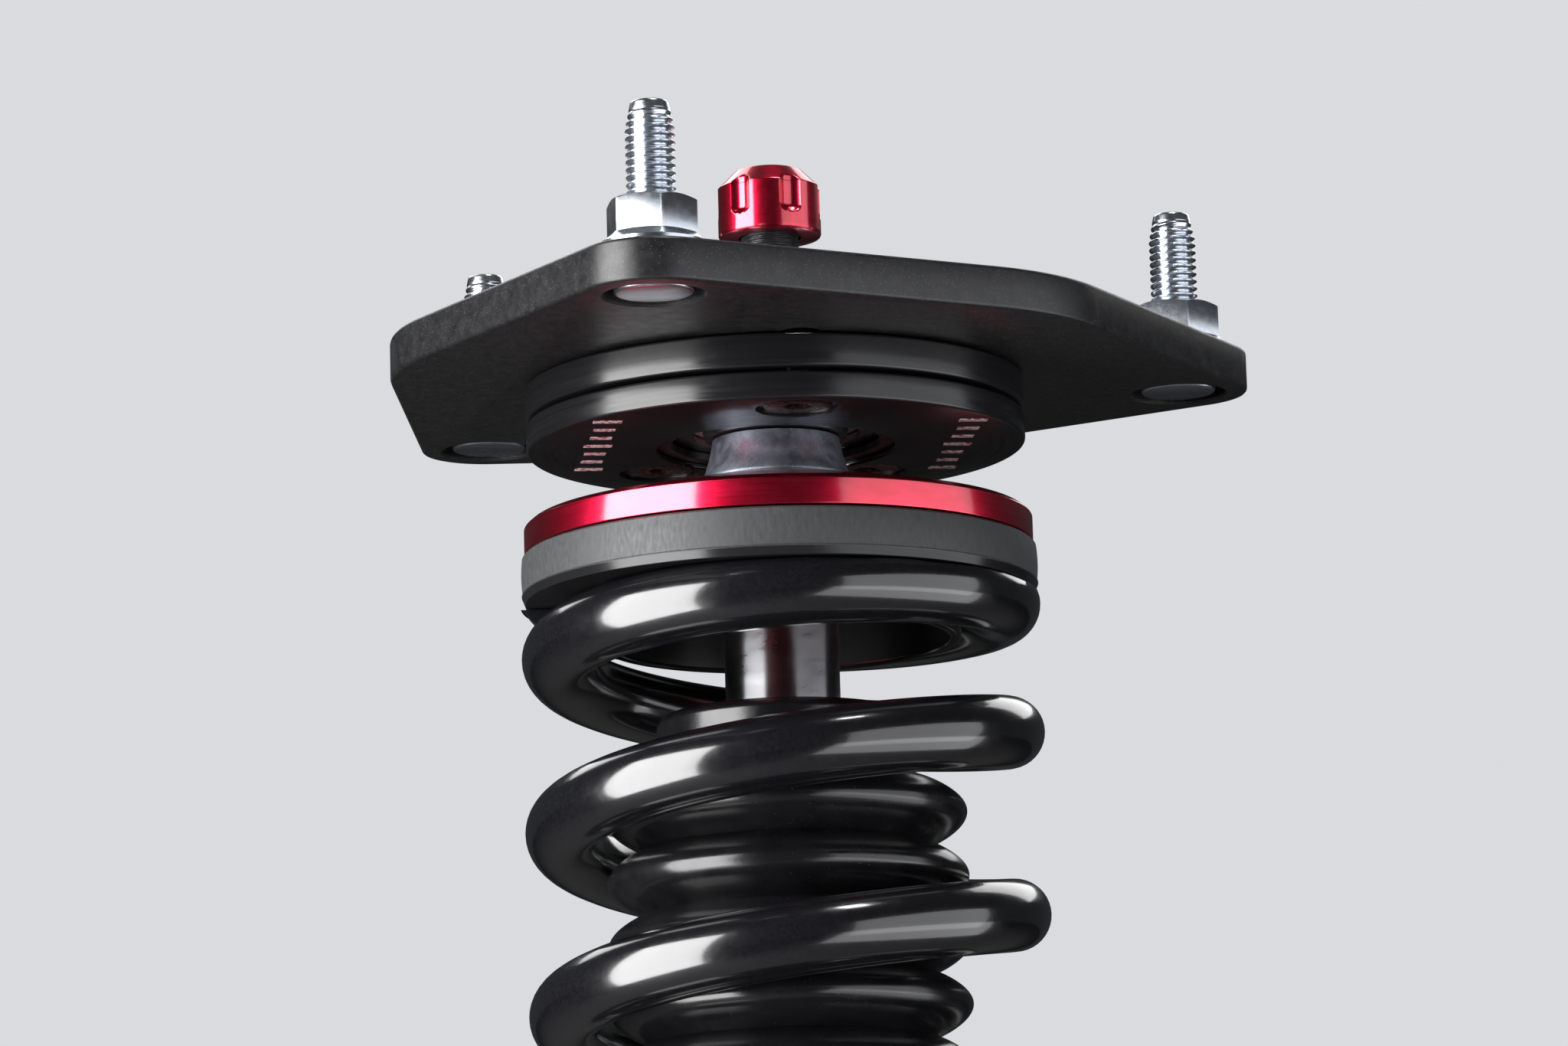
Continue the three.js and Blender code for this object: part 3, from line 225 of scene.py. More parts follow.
def grid_bmesh(points, around=True, along=True):
    """A quad grid from points[i, j] in millimetres, closed around i and along j where asked."""
    rows, columns, _ = points.shape
    mesh = bpy.data.meshes.new("grid")
    i = np.arange(rows if around else rows - 1)[:, None]
    j = np.arange(columns if along else columns - 1)[None, :]
    nexti, nextj = (i + 1) % rows, (j + 1) % columns
    faces = np.stack(
        [i * columns + j, nexti * columns + j, nexti * columns + nextj, i * columns + nextj], axis=-1
    ).reshape(-1, 4)
    mesh.from_pydata((points.reshape(-1, 3) * MM).tolist(), [], faces.tolist())
    bm = bmesh.new()
    bm.from_mesh(mesh)
    bpy.data.meshes.remove(mesh)
    return bm


def lathe(name, outline, segments=128, place=(0, 0), sharp=SHARP):
    """Turns a closed (r, z) outline about a vertical axis through place."""
    outline = np.array(outline, float)
    angles = np.linspace(0, TURN, segments, endpoint=False)
    points = np.empty((segments, len(outline), 3))
    points[..., 0] = np.cos(angles)[:, None] * outline[None, :, 0] + place[0]
    points[..., 1] = np.sin(angles)[:, None] * outline[None, :, 0] + place[1]
    points[..., 2] = outline[None, :, 1]
    return finish_mesh(name, grid_bmesh(points), sharp)


def shaped(name, outline_at, angles, place=(0, 0), sharp=SHARP):
    """Like lathe, but the outline changes with the angle: outline_at(angle) gives (r, z) points."""
    outlines = np.array([outline_at(a) for a in angles], float)
    angles = np.array(angles)
    points = np.empty(outlines.shape[:2] + (3,))
    points[..., 0] = np.cos(angles)[:, None] * outlines[..., 0] + place[0]
    points[..., 1] = np.sin(angles)[:, None] * outlines[..., 0] + place[1]
    points[..., 2] = outlines[..., 1]
    return finish_mesh(name, grid_bmesh(points), sharp)


def even_angles(count, start=0.0):
    return [start + TURN * k / count for k in range(count)]


def boolean(piece, cutters, operation="DIFFERENCE"):
    """Cuts or joins a piece with helper meshes, which are then removed."""
    for cutter in cutters:
        modifier = piece.modifiers.new("cut", "BOOLEAN")
        modifier.operation = operation
        modifier.solver = "EXACT"
        modifier.object = cutter
    bpy.context.view_layer.update()
    graph = bpy.context.evaluated_depsgraph_get()
    mesh = bpy.data.meshes.new_from_object(piece.evaluated_get(graph))
    old = piece.data
    piece.modifiers.clear()
    piece.data = mesh
    bpy.data.meshes.remove(old)
    mesh.shade_smooth()
    mesh.set_sharp_from_angle(angle=SHARP)
    for cutter in cutters:
        bpy.data.meshes.remove(cutter.data)
    return piece


def outline_slab(name, outline, bottom, top, bevel=0.0, steps=3):
    """A slab from a closed (x, y) outline, with its top and bottom edges rounded by bevel."""
    outline = np.array(outline, float)
    before = outline - np.roll(outline, 1, axis=0)
    after = np.roll(outline, -1, axis=0) - outline
    normal = before / np.linalg.norm(before, axis=1)[:, None] + after / np.linalg.norm(after, axis=1)[:, None]
    normal = np.stack([normal[:, 1], -normal[:, 0]], axis=1)
    normal /= np.linalg.norm(normal, axis=1)[:, None]
    levels = []
    turns = [radians(90) * k / steps for k in range(steps + 1)] if bevel > 0 else [0.0]
    for a in turns:
        levels.append((bevel * (1 - sin(a)), bottom + bevel * (1 - cos(a))))
    for a in reversed(turns):
        levels.append((bevel * (1 - sin(a)), top - bevel * (1 - cos(a))))
    if bevel <= 0:
        levels = [(0, bottom), (0, top)]
    points = np.empty((len(outline), len(levels), 3))
    for k, (inset, z) in enumerate(levels):
        points[:, k, :2] = outline - normal * inset
        points[:, k, 2] = z
    bm = grid_bmesh(points, around=True, along=False)
    bm.verts.ensure_lookup_table()
    columns = len(levels)
    for k in (0, columns - 1):
        ring = [bm.verts[i * columns + k] for i in range(len(outline))]
        bm.faces.new(ring)
    return finish_mesh(name, bm)


def arc(cx, cy, radius, start, end, steps):
    """Points on an arc in degrees, both ends included."""
    return [
        (cx + radius * cos(radians(start + (end - start) * k / steps)),
         cy + radius * sin(radians(start + (end - start) * k / steps)))
        for k in range(steps + 1)
    ]


def stands_for(piece, body, slot_name, surface, *nodes):
    """Gives a finished piece its finish and its body and hides the CAD nodes that it replaces; slot_name is not used.
    """
    piece.data.materials.clear()
    piece.data.materials.append(surface)
    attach(piece, body)
    if nodes:
        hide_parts(*nodes)
    return piece


# ---------------------------------------------------------------- finishes


class Finish:
    """A Principled material and short calls that add procedural detail to it."""

    def __init__(self, name, color, roughness, metallic=0.0, **sockets):
        self.material = bpy.data.materials.new(name)
        self.material.use_nodes = True
        self.tree = self.material.node_tree
        self.shader = self.tree.nodes["Principled BSDF"]
        self.shader.inputs["Base Color"].default_value = (*color, 1)
        self.shader.inputs["Roughness"].default_value = roughness
        self.shader.inputs["Metallic"].default_value = metallic
        for socket, value in sockets.items():
            self.shader.inputs[socket.replace("_", " ")].default_value = value
        self.place = self.node("ShaderNodeTexCoord").outputs["Object"]
        self.normal = None

    def node(self, kind, **settings):
        made = self.tree.nodes.new(kind)
        for key, value in settings.items():
            setattr(made, key, value)
        return made

    def link(self, source, target):
        self.tree.links.new(source, target)

    def scaled(self, scale):
        """Object coordinates with a scale for each axis."""
        mapping = self.node("ShaderNodeMapping")
        mapping.inputs["Scale"].default_value = scale
        self.link(self.place, mapping.inputs["Vector"])
        return mapping.outputs["Vector"]

    def turned(self, along_radius, along_height, around=0.0):
        """Coordinates that change with radius and height, and only slowly with the angle."""
        split = self.node("ShaderNodeSeparateXYZ")
        self.link(self.place, split.inputs[0])
        flat = self.node("ShaderNodeCombineXYZ")
        self.link(split.outputs["X"], flat.inputs["X"])
        self.link(split.outputs["Y"], flat.inputs["Y"])
        length = self.node("ShaderNodeVectorMath", operation="LENGTH")
        self.link(flat.outputs[0], length.inputs[0])
        angle = self.node("ShaderNodeMath", operation="ARCTAN2")
        self.link(split.outputs["Y"], angle.inputs[0])
        self.link(split.outputs["X"], angle.inputs[1])
        joined = self.node("ShaderNodeCombineXYZ")
        for source, factor, target in (
            (length.outputs["Value"], along_radius, "X"),
            (split.outputs["Z"], along_height, "Y"),
            (angle.outputs["Value"], around, "Z"),
        ):
            times = self.node("ShaderNodeMath", operation="MULTIPLY")
            self.link(source, times.inputs[0])
            times.inputs[1].default_value = factor
            self.link(times.outputs[0], joined.inputs[target])
        return joined.outputs[0]

    def noise(self, vector, scale=1.0, detail=2.0, rough=0.5):
        texture = self.node("ShaderNodeTexNoise")
        texture.inputs["Scale"].default_value = scale
        texture.inputs["Detail"].default_value = detail
        texture.inputs["Roughness"].default_value = rough
        self.link(vector, texture.inputs["Vector"])
        return texture.outputs["Fac"]

    def specks(self, scale, size):
        """Small round specks: 1 inside, 0 outside."""
        cells = self.node("ShaderNodeTexVoronoi")
        cells.inputs["Scale"].default_value = scale
        self.link(self.place, cells.inputs["Vector"])
        return self.ranged(cells.outputs["Distance"], size, size * 0.6, 0, 1)

    def ranged(self, value, low, high, to_low, to_high):
        ranger = self.node("ShaderNodeMapRange")
        ranger.inputs["From Min"].default_value = low
        ranger.inputs["From Max"].default_value = high
        ranger.inputs["To Min"].default_value = to_low
        ranger.inputs["To Max"].default_value = to_high
        self.link(value, ranger.inputs["Value"])
        return ranger.outputs["Result"]

    def color(self, factor, dark, light):
        mix = self.node("ShaderNodeMix", data_type="RGBA")
        self.link(factor, mix.inputs["Factor"])
        mix.inputs["A"].default_value = (*dark, 1)
        mix.inputs["B"].default_value = (*light, 1)
        self.link(mix.outputs["Result"], self.shader.inputs["Base Color"])
        return mix

    def over(self, mix_below, factor, color):
        """Lays another colour over a colour mix."""
        mix = self.node("ShaderNodeMix", data_type="RGBA")
        self.link(factor, mix.inputs["Factor"])
        self.link(mix_below.outputs["Result"], mix.inputs["A"])
        mix.inputs["B"].default_value = (*color, 1)
        self.link(mix.outputs["Result"], self.shader.inputs["Base Color"])
        return mix

    def roughness(self, factor, low, high):
        self.link(self.ranged(factor, 0.3, 0.7, low, high), self.shader.inputs["Roughness"])

    def bump(self, height, distance, strength=1.0):
        node = self.node("ShaderNodeBump")
        node.inputs["Distance"].default_value = distance
        node.inputs["Strength"].default_value = strength
        self.link(height, node.inputs["Height"])
        if self.normal is not None:
            self.link(self.normal, node.inputs["Normal"])
        self.normal = node.outputs["Normal"]
        self.link(self.normal, self.shader.inputs["Normal"])


def blasted_black():
    f = Finish("blasted_black_anodised", (0.010, 0.010, 0.011), 0.36, Specular_IOR_Level=0.6)
    f.bump(f.noise(f.place, 5200, 3, 0.7), 0.00004, 0.5)
    mottle = f.noise(f.place, 900, 3)
    base = f.color(f.ranged(mottle, 0.3, 0.7, 0, 1), (0.007, 0.007, 0.008), (0.014, 0.014, 0.015))
    # The light grey specks over the black are painted sparkle: glints of the blasted grain painted into the colour.
    f.over(base, f.specks(2300, 0.14), (0.20, 0.20, 0.21))
    f.roughness(f.noise(f.place, 400, 2), 0.30, 0.42)
    return f.material


def turned_black():
    f = Finish("turned_black_anodised", (0.008, 0.008, 0.009), 0.22, Specular_IOR_Level=0.6)
    rings = f.noise(f.turned(9000, 9000, 1.0), 1.0, 3, 0.6)
    f.bump(rings, 0.00001, 0.2)
    f.color(f.ranged(rings, 0.3, 0.7, 0, 1), (0.005, 0.005, 0.006), (0.011, 0.011, 0.012))
    f.roughness(f.noise(f.turned(1500, 1500, 3.0), 1.0, 3), 0.16, 0.27)
    return f.material


def red_anodised():
    f = Finish("red_anodised", (0.8, 0.004, 0.04), 0.3, 1.0, Coat_Weight=1.0, Coat_Roughness=0.12, Coat_IOR=1.8)
    rings = f.noise(f.turned(7000, 7000, 2.0), 1.0, 3, 0.6)
    f.bump(rings, 0.00001, 0.05)
    wash = f.noise(f.turned(500, 500, 9.0), 1.0, 3)
    f.color(f.ranged(wash, 0.3, 0.7, 0, 1), (0.70, 0.002, 0.032), (0.86, 0.008, 0.060))
    f.roughness(rings, 0.27, 0.32)
    return f.material


def zinc_plate():
    f = Finish("bright_zinc", (0.74, 0.79, 0.86), 0.2, 1.0)
    mottle = f.noise(f.place, 420, 3, 0.5)
    f.color(f.ranged(mottle, 0.3, 0.7, 0, 1), (0.72, 0.78, 0.87), (0.82, 0.86, 0.92))
    f.roughness(f.noise(f.place, 900, 2), 0.21, 0.27)
    f.bump(f.noise(f.place, 1800, 2), 0.00001, 0.15)
    return f.material


def bearing_steel():
    f = Finish("ground_steel", (0.56, 0.57, 0.60), 0.2, 1.0)
    rings = f.noise(f.turned(5000, 5000, 1.0), 1.0, 2)
    f.bump(rings, 0.00001, 0.3)
    f.roughness(rings, 0.14, 0.26)
    return f.material


def hard_chrome():
    """Ground and chromed: the fine grinding around the rod draws reflections out along it."""
    f = Finish("hard_chrome", (0.86, 0.87, 0.90), 0.3, 1.0, Anisotropic=1.0, Anisotropic_Rotation=0.25)
    around = f.node("ShaderNodeTangent", direction_type="RADIAL", axis="Z")
    f.link(around.outputs["Tangent"], f.shader.inputs["Tangent"])
    smear = f.noise(f.scaled((120, 120, 420)), 1.0, 3, 0.6)
    f.roughness(smear, 0.26, 0.36)
    base = f.color(f.ranged(smear, 0.3, 0.7, 0, 1), (0.82, 0.83, 0.87), (0.90, 0.90, 0.92))
    f.over(base, f.specks(900, 0.05), (0.62, 0.63, 0.66))
    return f.material


def mottled_steel():
    f = Finish("mottled_blue_steel", (0.42, 0.47, 0.56), 0.36, 1.0)
    clouds = f.noise(f.place, 260, 5, 0.65)
    base = f.color(f.ranged(clouds, 0.32, 0.68, 0, 1), (0.24, 0.28, 0.35), (0.56, 0.63, 0.74))
    f.over(base, f.specks(1200, 0.16), (0.72, 0.78, 0.86))
    f.roughness(f.noise(f.place, 600, 3), 0.42, 0.6)
    f.bump(f.noise(f.turned(3000, 3000, 1.0), 1.0, 3), 0.00002, 0.45)
    return f.material


def grey_polymer(name, glossy_below):
    """Scuffed matt polymer, with a worn shiny bevel below a height in millimetres, its colour darkened there as painted
    shade.
    """
    f = Finish(name, (0.045, 0.046, 0.048), 0.55)
    scratches = f.noise(f.turned(300, 500, 60), 1.0, 4, 0.75)
    base = f.color(f.ranged(scratches, 0.3, 0.7, 0, 1), (0.038, 0.039, 0.041), (0.055, 0.056, 0.058))
    dusted = f.over(base, f.specks(900, 0.06), (0.20, 0.20, 0.20))
    height = f.node("ShaderNodeSeparateXYZ")
    f.link(f.place, height.inputs[0])
    matt = f.ranged(height.outputs["Z"], (glossy_below - 0.15) * MM, (glossy_below + 0.15) * MM, 0, 1)
    bevel_painted_shade = f.ranged(matt, 0, 1, 1, 0)
    # Below that height the colour is darkened: painted shade on the downward-facing bevel.
    f.over(dusted, bevel_painted_shade, (0.012, 0.012, 0.013))
    rough = f.ranged(f.noise(f.turned(700, 600, 80), 1.0, 3), 0.3, 0.7, 0.42, 0.62)
    blend = f.node("ShaderNodeMix")
    f.link(matt, blend.inputs["Factor"])
    blend.inputs["A"].default_value = 0.17
    f.link(rough, blend.inputs["B"])
    f.link(blend.outputs["Result"], f.shader.inputs["Roughness"])
    f.bump(scratches, 0.00002, 0.3)
    return f.material


def powder_coat():
    f = Finish("gloss_powder_coat", (0.006, 0.006, 0.007), 0.2, Coat_Weight=1.0, Coat_Roughness=0.1, Coat_IOR=1.6)
    f.bump(f.noise(f.place, 750, 2, 0.4), 0.00005, 0.25)
    f.bump(f.noise(f.place, 4200, 2), 0.00002, 0.45)
    f.color(f.ranged(f.noise(f.place, 1800, 3), 0.3, 0.7, 0, 1), (0.004, 0.004, 0.005), (0.008, 0.008, 0.010))
    f.roughness(f.noise(f.place, 350, 3), 0.16, 0.24)
    return f.material


def boot_rubber():
    f = Finish("boot_rubber", (0.008, 0.008, 0.009), 0.22, Specular_IOR_Level=0.7)
    dust = f.noise(f.place, 160, 5, 0.7)
    base = f.color(f.ranged(dust, 0.35, 0.75, 0, 1), (0.005, 0.005, 0.006), (0.010, 0.010, 0.011))
    f.over(base, f.specks(1100, 0.07), (0.12, 0.12, 0.12))
    f.roughness(f.noise(f.place, 220, 4), 0.16, 0.28)
    f.bump(f.noise(f.place, 1500, 3), 0.00003, 0.3)
    return f.material


def gloss_paint():
    f = Finish("gloss_black_paint", (0.009, 0.009, 0.010), 0.2, Coat_Weight=0.6, Coat_Roughness=0.1)
    f.bump(f.noise(f.place, 600, 2), 0.00006, 0.3)
    f.color(f.ranged(f.noise(f.place, 300, 4), 0.3, 0.7, 0, 1), (0.007, 0.007, 0.008), (0.013, 0.013, 0.015))
    f.roughness(f.noise(f.place, 250, 3), 0.15, 0.28)
    return f.material


def phosphated_steel():
    f = Finish("phosphated_thread", (0.06, 0.062, 0.066), 0.38, 0.7)
    f.color(f.ranged(f.noise(f.place, 420, 4), 0.3, 0.7, 0, 1), (0.035, 0.036, 0.040), (0.10, 0.10, 0.105))
    f.roughness(f.noise(f.place, 700, 3), 0.28, 0.48)
    f.bump(f.noise(f.place, 2400, 3), 0.00003, 0.4)
    return f.material


def black_oxide():
    f = Finish("coppery_black_oxide", (0.09, 0.07, 0.065), 0.34, 1.0)
    f.color(f.ranged(f.noise(f.place, 900, 4), 0.4, 0.75, 0, 1), (0.05, 0.045, 0.045), (0.34, 0.22, 0.18))
    f.roughness(f.noise(f.place, 1400, 3), 0.24, 0.44)
    f.bump(f.noise(f.place, 2500, 3), 0.00003, 0.5)
    return f.material


def machined_aluminium():
    f = Finish("machined_aluminium", (0.68, 0.69, 0.71), 0.3, 1.0)
    rings = f.noise(f.turned(6000, 6000, 1.0), 1.0, 3)
    f.bump(rings, 0.00002, 0.4)
    f.roughness(rings, 0.24, 0.38)
    return f.material


def bronze():
    f = Finish("bronze", (0.52, 0.33, 0.15), 0.32, 1.0)
    f.color(f.ranged(f.noise(f.place, 500, 4), 0.3, 0.7, 0, 1), (0.42, 0.25, 0.10), (0.60, 0.40, 0.20))
    f.roughness(f.noise(f.place, 900, 3), 0.25, 0.42)
    return f.material


def polyurethane_foam():
    f = Finish("polyurethane_foam", (0.50, 0.33, 0.12), 0.7)
    f.color(f.ranged(f.noise(f.place, 900, 4), 0.3, 0.7, 0, 1), (0.40, 0.25, 0.08), (0.58, 0.40, 0.17))
    f.bump(f.noise(f.place, 2200, 4), 0.00008, 0.6)
    f.roughness(f.noise(f.place, 700, 2), 0.6, 0.8)
    return f.material


def woven_liner():
    f = Finish("woven_liner", (0.70, 0.67, 0.60), 0.6)
    f.color(f.ranged(f.noise(f.place, 2600, 3), 0.3, 0.7, 0, 1), (0.58, 0.55, 0.48), (0.78, 0.75, 0.68))
    f.bump(f.noise(f.place, 3500, 2), 0.00005, 0.5)
    f.roughness(f.noise(f.place, 900, 2), 0.5, 0.7)
    return f.material


def tick_painted_reflection():
    # The dark red and the pinkish white are painted light: a painted reflection of the red seat and painted highlights
    # in the engraved tick grooves, laid out by noise.
    f = Finish("tick_painted_red_reflection", (0.5, 0.3, 0.3), 0.3)
    painted_glint_mask = f.noise(f.place, 1300, 4, 0.7)
    f.color(f.ranged(painted_glint_mask, 0.4, 0.6, 0, 1), (0.30, 0.03, 0.05), (0.78, 0.72, 0.72))
    f.roughness(painted_glint_mask, 0.2, 0.4)
    return f.material


BLASTED = blasted_black()
TURNED = turned_black()
RED = red_anodised()
ZINC = zinc_plate()
STEEL = bearing_steel()
CHROME = hard_chrome()
NECK = mottled_steel()
RIM_HEIGHT = 6.5
POLYMER = grey_polymer("scuffed_grey_polymer", span("spring_isolator")[1] - RIM_HEIGHT)
LOWER_POLYMER = grey_polymer("scuffed_grey_polymer_lower", span("lower_spring_isolator")[0])
POWDER = powder_coat()
RUBBER = boot_rubber()
PAINT = gloss_paint()
PHOSPHATE = phosphated_steel()
OXIDE = black_oxide()
ALLOY = machined_aluminium()
BRONZE = bronze()
FOAM = polyurethane_foam()
LINER = woven_liner()
TICK_PAINTED_REFLECTION = tick_painted_reflection()


# ---------------------------------------------------------------- camber plate, studs and nuts

FIRST_STUD = -111.5
STUD_CIRCLE = 70.8
PLATE_CORNER = 11.7
PLATE_WAIST = 40.0
PLATE_EDGE_ANGLE = 43.25
PLATE_BEVEL = 0.7
CAMBER_TRAVEL = 6.0
STUD_NAMES = "abc"


def stud_place(index):
    a = radians(FIRST_STUD + 120 * index)
    return STUD_CIRCLE * cos(a), STUD_CIRCLE * sin(a)


def plate_outline():
    edge = STUD_CIRCLE * cos(radians(PLATE_EDGE_ANGLE)) + PLATE_CORNER
    half = 60 - PLATE_EDGE_ANGLE
    waist_centre = (edge - PLATE_WAIST) / cos(radians(half))
    points = []
    for i in range(3):
        corner = FIRST_STUD + 120 * i
        waist = corner + 60
        cx, cy = stud_place(i)
        wx, wy = waist_centre * cos(radians(waist)), waist_centre * sin(radians(waist))
        points += arc(cx, cy, PLATE_CORNER, corner - PLATE_EDGE_ANGLE, corner + PLATE_EDGE_ANGLE, 28)
        points += arc(wx, wy, PLATE_WAIST, waist - half, waist + half, 20)
    return points


def slot_outline(x, y, radius, travel, steps=16):
    return arc(x, y + travel, radius, 0, 180, steps) + arc(x, y - travel, radius, 180, 360, steps)


def make_camber_plate():
    bottom, top = span("camber_plate")
    plate = outline_slab("camber_plate_body", plate_outline(), bottom, top, PLATE_BEVEL)
    head = span("mount_stud_a")[0]
    recess_top = head + 3.3
    cutters = [outline_slab("cut", slot_outline(0, 0, 12.39, CAMBER_TRAVEL, 24), bottom - 1, top + 1)]
    for x, y in clamp_screw_places():
        cutters.append(outline_slab("cut", slot_outline(x, y, 3.3, CAMBER_TRAVEL + 0.3), bottom - 1, top + 1))
    for i in range(3):
        x, y = stud_place(i)
        bore = [(0, bottom - 1), (8.35, bottom - 1), (8.35, bottom), (8.0, bottom + 0.35), (8.0, recess_top),
                (4.25, recess_top), (4.25, top + 1), (0, top + 1)]
        cutters.append(lathe("cut", bore, 64, (x, y)))
    boolean(plate, cutters)
    stands_for(plate, "top_mount", "black_anodised", BLASTED, "camber_plate")


def clamp_screw_places():
    places = []
    for letter in STUD_NAMES:
        low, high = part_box("clamp_screw_" + letter)
        middle = (low + high) / 2 / MM
        places.append((middle.x, middle.y))
    return places


def thread_depth(phase):
    """How far a 60 degree thread's surface lies below its crest, from 0 to 1."""
    distance = np.abs((phase + 0.5) % 1.0 - 0.5)
    return np.clip((distance - 0.07) / 0.33, 0, 1)


def thread_rows(bottom, top, pitch, per_pitch):
    count = max(int(round((top - bottom) / pitch * per_pitch)), 2)
    return np.linspace(bottom, top, count + 1)


def threaded_outline(angle, rows, radius, depth, pitch, fade):
    """(r, z) points of a right-handed thread along rows; fade(z) is 1 at full depth and 0 at none."""
    phase = rows / pitch - angle / TURN
    r = radius(rows) - depth * thread_depth(phase) * fade(rows)
    return list(zip(r, rows))


def make_stud(index):
    letter = STUD_NAMES[index]
    node = "mount_stud_" + letter
    bottom, top = span(node)
    head_top = bottom + 3
    thread_from, taper = 0.2, 4.5
    rows = thread_rows(thread_from, top - 0.35, 1.25, 12)

    def crest(z):
        return 3.95 - 0.95 * np.clip((z - (top - taper)) / taper, 0, 1)

    def fade(z):
        start = np.clip((z - thread_from) / 0.8, 0, 1)
        return start * (1 - np.clip((z - (top - taper)) / (taper - 1.4), 0, 1) ** 1.5)

    head = rounded([(0, bottom), (6.35, bottom, 0.5), (6.35, head_top, 0.3), (3.95, head_top)], 4)

    def outline(angle):
        body = threaded_outline(angle, rows, crest, 0.72, 1.25, fade)
        tip = crest(np.array([rows[-1]]))[0]
        return head + body + [(tip - 0.12, top - 0.1), (tip - 0.4, top), (0, top)]

    piece = shaped("stud_" + letter, outline, even_angles(56), stud_place(index), radians(50))
    stands_for(piece, "top_mount", "zinc", ZINC, node)


def hex_radius(angle, across, turn):
    local = (angle - turn) % (pi / 3) - pi / 6
    return across / 2 / cos(local)


def hex_nut(name, place, across, turn, bottom, top, bore, flange=None, thread_pitch=1.25):
    """A hexagon nut with chamfered corners, threaded bore and, where flange is given, a skirt of that radius."""
    low_circle = across / 2 * 0.97
    slope = 0.52
    skirt = 1.9
    rows = thread_rows(top - 0.5, bottom + 0.5, thread_pitch, -8) if thread_pitch else []

    def outline(angle):
        corner = hex_radius(angle, across, turn)
        upper = top - max(corner - low_circle, 0) * slope
        points = [(low_circle - 0.05, top), (corner - 0.06, upper + 0.02), (corner, upper - 0.08)]
        if flange:
            points += [(corner, bottom + skirt + (flange - corner) * 0.22), (corner + 0.25, bottom + skirt + 0.1)]
            points += [(flange - 0.35, bottom + 1.15), (flange, bottom + 0.85), (flange, bottom + 0.2),
                       (flange - 0.2, bottom)]
        else:
            lower = bottom + max(corner - low_circle, 0) * slope
            points += [(corner, lower + 0.08), (corner - 0.06, lower - 0.02), (low_circle - 0.05, bottom)]
        points += [(bore + 0.5, bottom)]
        phase = rows / thread_pitch - angle / TURN
        depths = (1 - thread_depth(phase)) * 0.5
        points += list(zip(bore + 0.45 - depths, rows[::1]))
        points += [(bore + 0.5, top)]
        return points

    return shaped(name, outline, even_angles(96, turn), place)


def make_nut(index):
    letter = STUD_NAMES[index]
    node = "flange_nut_" + letter
    bottom, top = span(node)
    piece = hex_nut("flange_nut_hex_" + letter, stud_place(index), 13.0, radians(-83.5), bottom, top, 4.15, 8.5)
    stands_for(piece, "top_mount", "zinc", ZINC, node)


# ---------------------------------------------------------------- camber carriage

SCREW_HEAD = 5.6
SCREW_SINK = 6.9


def screw_hole(x, y, bottom):
    outline = [(0, bottom - 1), (SCREW_SINK, bottom - 1), (SCREW_SINK, bottom + 0.6), (SCREW_HEAD + 0.1, bottom + 0.7),
               (3.3, bottom + 2.9), (3.3, 6), (0, 6)]
    return lathe("cut", outline, 64, (x, y))


def make_carriage():
    bottom, top = span("bearing_housing")
    radius = radius_of("bearing_housing")
    retainer_low, retainer_high = span("retainer_disc")
    race_low, race_high = span("bearing_outer_race")
    race = radius_of("bearing_outer_race") + 0.25
    lip = 15.9
    housing = lathe("bearing_housing_disc", rounded([
        (lip, top, 0.3), (radius, top, 0.6), (radius, bottom, 0.6), (race, bottom), (race, race_high + 0.25),
        (lip, race_high + 0.25)]), 192)
    holes = [screw_hole(x, y, retainer_low) for x, y in clamp_screw_places()]
    boolean(housing, holes)
    stands_for(housing, "camber_carriage", "black_anodised", TURNED, "bearing_housing")

    clip_low, clip_high = span("bearing_circlip")
    clip_radius = radius_of("bearing_circlip")
    hole = race - 0.25 + 2.3
    retainer = lathe("retainer_disc_turned", rounded([
        (race, retainer_high), (radius, retainer_high, 0.5), (radius, retainer_low, 0.6),
        (hole, retainer_low, 0.45), (hole, clip_low - 0.15), (clip_radius + 0.3, clip_low - 0.15),
        (clip_radius + 0.3, clip_high + 0.1), (race, clip_high + 0.1)]), 192)
    holes = [screw_hole(x, y, retainer_low) for x, y in clamp_screw_places()]
    boolean(retainer, holes)
    stands_for(retainer, "camber_carriage", "black_anodised", TURNED, "retainer_disc")

    low, high = span("clamp_plate")
    clamp = lathe("clamp_plate_ring", rounded([
        (15.89, low), (radius_of("clamp_plate"), low, 0.4), (radius_of("clamp_plate"), high, 0.6),
        (15.89, high, 0.5)]), 160)
    holes = [screw_hole(x, y, retainer_low) for x, y in clamp_screw_places()]
    boolean(clamp, holes)
    stands_for(clamp, "camber_carriage", "black_anodised", TURNED, "clamp_plate")
    make_ticks(retainer_low)
    make_circlip(clip_low, clip_high, clip_radius)
    ring = lathe("bearing_race_ring", race_outline(race_low, race_high), 128)
    stands_for(ring, "camber_carriage", "bearing_steel", STEEL, "bearing_outer_race")


def race_outline(low, high):
    centre = (low + high) / 2
    sphere = 14.4
    half = asin((high - low) / 2 / sphere)
    inside = [(sphere * cos(a), centre + sphere * sin(a)) for a in np.linspace(-half, half, 13)]
    outer = radius_of("bearing_outer_race")
    return rounded([(outer, high, 0.4), (outer, low, 0.4)] + inside)


